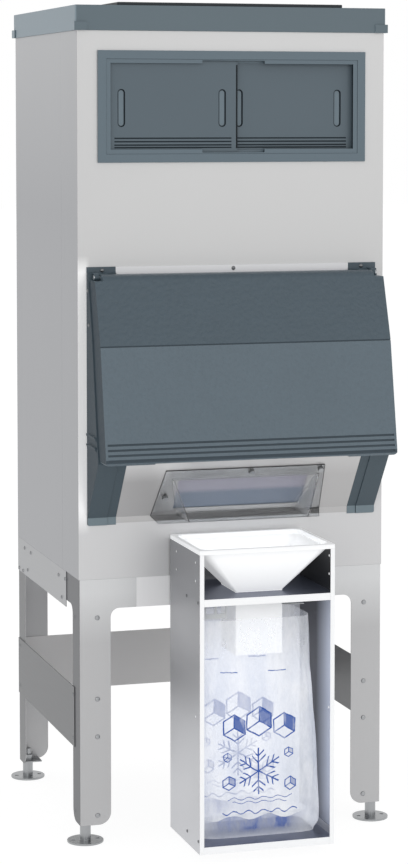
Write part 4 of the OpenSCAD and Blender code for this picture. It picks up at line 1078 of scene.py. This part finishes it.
def film_bag():
    """An open shell lofted ring by ring, which sags into folds between its corners."""
    random.seed(FOLD_SEED)
    folds = [
        (random.uniform(0, 1), random.uniform(*FOLD_WIDTHS), random.uniform(*FOLD_SHARES))
        for _ in range(FOLD_COUNT)
    ]
    made = bmesh.new()
    base = bmesh.ops.create_grid(made, x_segments=BAG_COLUMNS, y_segments=BAG_ROWS, size=1.0)
    for vert in base["verts"]:
        around = (vert.co.x + 1) / 2
        height = (vert.co.y + 1) / 2
        left, right, front, rear = bag_limits(height)
        angle = around * math.tau - BAG_SEAM
        across, along = (
            math.copysign(abs(part) ** BAG_SQUARENESS, part) for part in (math.cos(angle), math.sin(angle))
        )
        crinkle = sum(1 + math.sin(around * count + height * slant) for count, slant in CRINKLES)
        keep = 1 - fold_share(folds, around, height) * FOLD_DEPTH - CRINKLE_DEPTH * crinkle
        vert.co = Vector(
            (
                (left + right) / 2 + (right - left) / 2 * across * keep,
                (front + rear) / 2 + (rear - front) / 2 * along * keep,
                bag_low.z + BAG_CLEARANCE + (bag_high.z - bag_low.z - 2 * BAG_CLEARANCE) * height,
            )
        )
    bmesh.ops.remove_doubles(made, verts=made.verts, dist=WELD)
    rims = [e for e in made.edges if len(e.link_faces) == 1 and e.verts[0].co.z < bag_low.z + RIM_REACH]
    bmesh.ops.edgeloop_fill(made, edges=rims)
    bmesh.ops.recalc_face_normals(made, faces=made.faces)
    link_piece("film_bag_shell", made, [bag_film], body_of("film_bag"), ["film_bag"])


film_bag()

# Stage: floor, light and camera

WHITE = (1.0, 1.0, 1.0, 1.0)
FLOOR_HALF = 40.0
FLOOR_CLOUDS = (3.0, 3.0, 3.0)
FLOOR_GLOW, FLOOR_GLOW_SHARE = 1.14, 0.8
SKY_LOW, SKY_HIGH = 0.86, 0.56
SHINE_LOW, SHINE_HIGH = 1.0, 0.66
SEEN_THROUGH = 0.8
# name, place, target, width and height, watts
LAMPS = (
    ("key", (1.6, -4.6, 2.6), (0, 0, 1.1), (2.4, 2.4), 13),
    ("fill", (-3.0, -4.8, 2.2), (0, 0, 1.0), (2.0, 3.0), 20),
)
CAMERA_LENS = 104.81
SENSOR_WIDTH = 36.0
CAMERA_SHIFT = -0.1623
CAMERA_PLACE = (-1.7969, -5.9232, 1.7269)
CAMERA_PITCH, CAMERA_YAW = math.radians(86), math.radians(-16.81)


def ray_kinds(nodes):
    """1 or 0 for each kind of ray: from the camera, mirrored, or passed through a clear piece."""
    path = nodes.node("ShaderNodeLightPath").socket.node
    names = ("Is Camera Ray", "Is Glossy Ray", "Is Transmission Ray")
    return [Value(nodes, path.outputs[name]) for name in names]


def build_floor():
    """A pale floor that melts into the white background and keeps a faint shadow."""
    made = bmesh.new()
    bmesh.ops.create_grid(made, x_segments=1, y_segments=1, size=FLOOR_HALF)
    mesh = bpy.data.meshes.new("floor")
    made.to_mesh(mesh)
    made.free()
    floor = bpy.data.objects.new("floor", mesh)
    bpy.context.scene.collection.objects.link(floor)
    finish = Finish("floor_finish", None, {"Base Color": srgb("efefef"), "Specular IOR Level": 0.0})
    cloud = finish.noise(FLOOR_CLOUDS, detail=2.0)
    finish.paint("Roughness", 0.85 + cloud * 0.1)
    seen, mirrored, through = ray_kinds(finish)
    glow = finish.node("ShaderNodeEmission", None, {"Color": WHITE, "Strength": FLOOR_GLOW})
    shaded = Value(finish, finish.shader.outputs["BSDF"])
    share = seen.larger(mirrored).larger(through) * FLOOR_GLOW_SHARE
    mixed = finish.node("ShaderNodeMixShader", None, {0: share, 1: shaded, 2: glow})
    finish.feed(finish.tree.nodes["Material Output"].inputs["Surface"], mixed)
    mesh.materials.append(finish.material)


def build_world():
    """A white studio: plain white to the camera, brighter low down for light and shine."""
    world = bpy.data.worlds.new("studio")
    bpy.context.scene.world = world
    world.use_nodes = True
    nodes = Nodes(world.node_tree)
    seen, mirrored, through = ray_kinds(nodes)
    direction = nodes.node("ShaderNodeTexCoord", output="Generated")
    up = nodes.node("ShaderNodeSeparateXYZ", None, {0: direction}, output="Z")
    light = up.ramp(0.0, 1.0, SKY_LOW, SKY_HIGH)
    shine = up.ramp(0.0, 1.0, SHINE_LOW, SHINE_HIGH)
    light = light + mirrored * (shine - light)
    light = light + through * (SEEN_THROUGH - light)
    strength = light + seen * (1.0 - light)
    background = nodes.tree.nodes["Background"]
    nodes.feed(background.inputs["Color"], WHITE)
    nodes.feed(background.inputs["Strength"], strength)


def add_lamp(name, place, target, size, power):
    """A soft rectangular lamp that faces a target."""
    lamp = bpy.data.lights.new(name, "AREA")
    lamp.shape = "RECTANGLE"
    lamp.size, lamp.size_y = size
    lamp.energy = power
    holder = bpy.data.objects.new(name, lamp)
    holder.location = place
    holder.rotation_euler = (Vector(target) - Vector(place)).to_track_quat("-Z", "Y").to_euler()
    bpy.context.scene.collection.objects.link(holder)


def build_camera():
    camera = bpy.data.cameras.new("camera")
    camera.lens = CAMERA_LENS
    camera.sensor_width = SENSOR_WIDTH
    camera.shift_y = CAMERA_SHIFT
    holder = bpy.data.objects.new("camera", camera)
    holder.location = CAMERA_PLACE
    holder.rotation_euler = (CAMERA_PITCH, 0, CAMERA_YAW)
    bpy.context.scene.collection.objects.link(holder)
    bpy.context.scene.camera = holder


build_floor()
build_world()
for lamp_row in LAMPS:
    add_lamp(*lamp_row)
build_camera()
bpy.context.scene.view_settings.view_transform = "Standard"
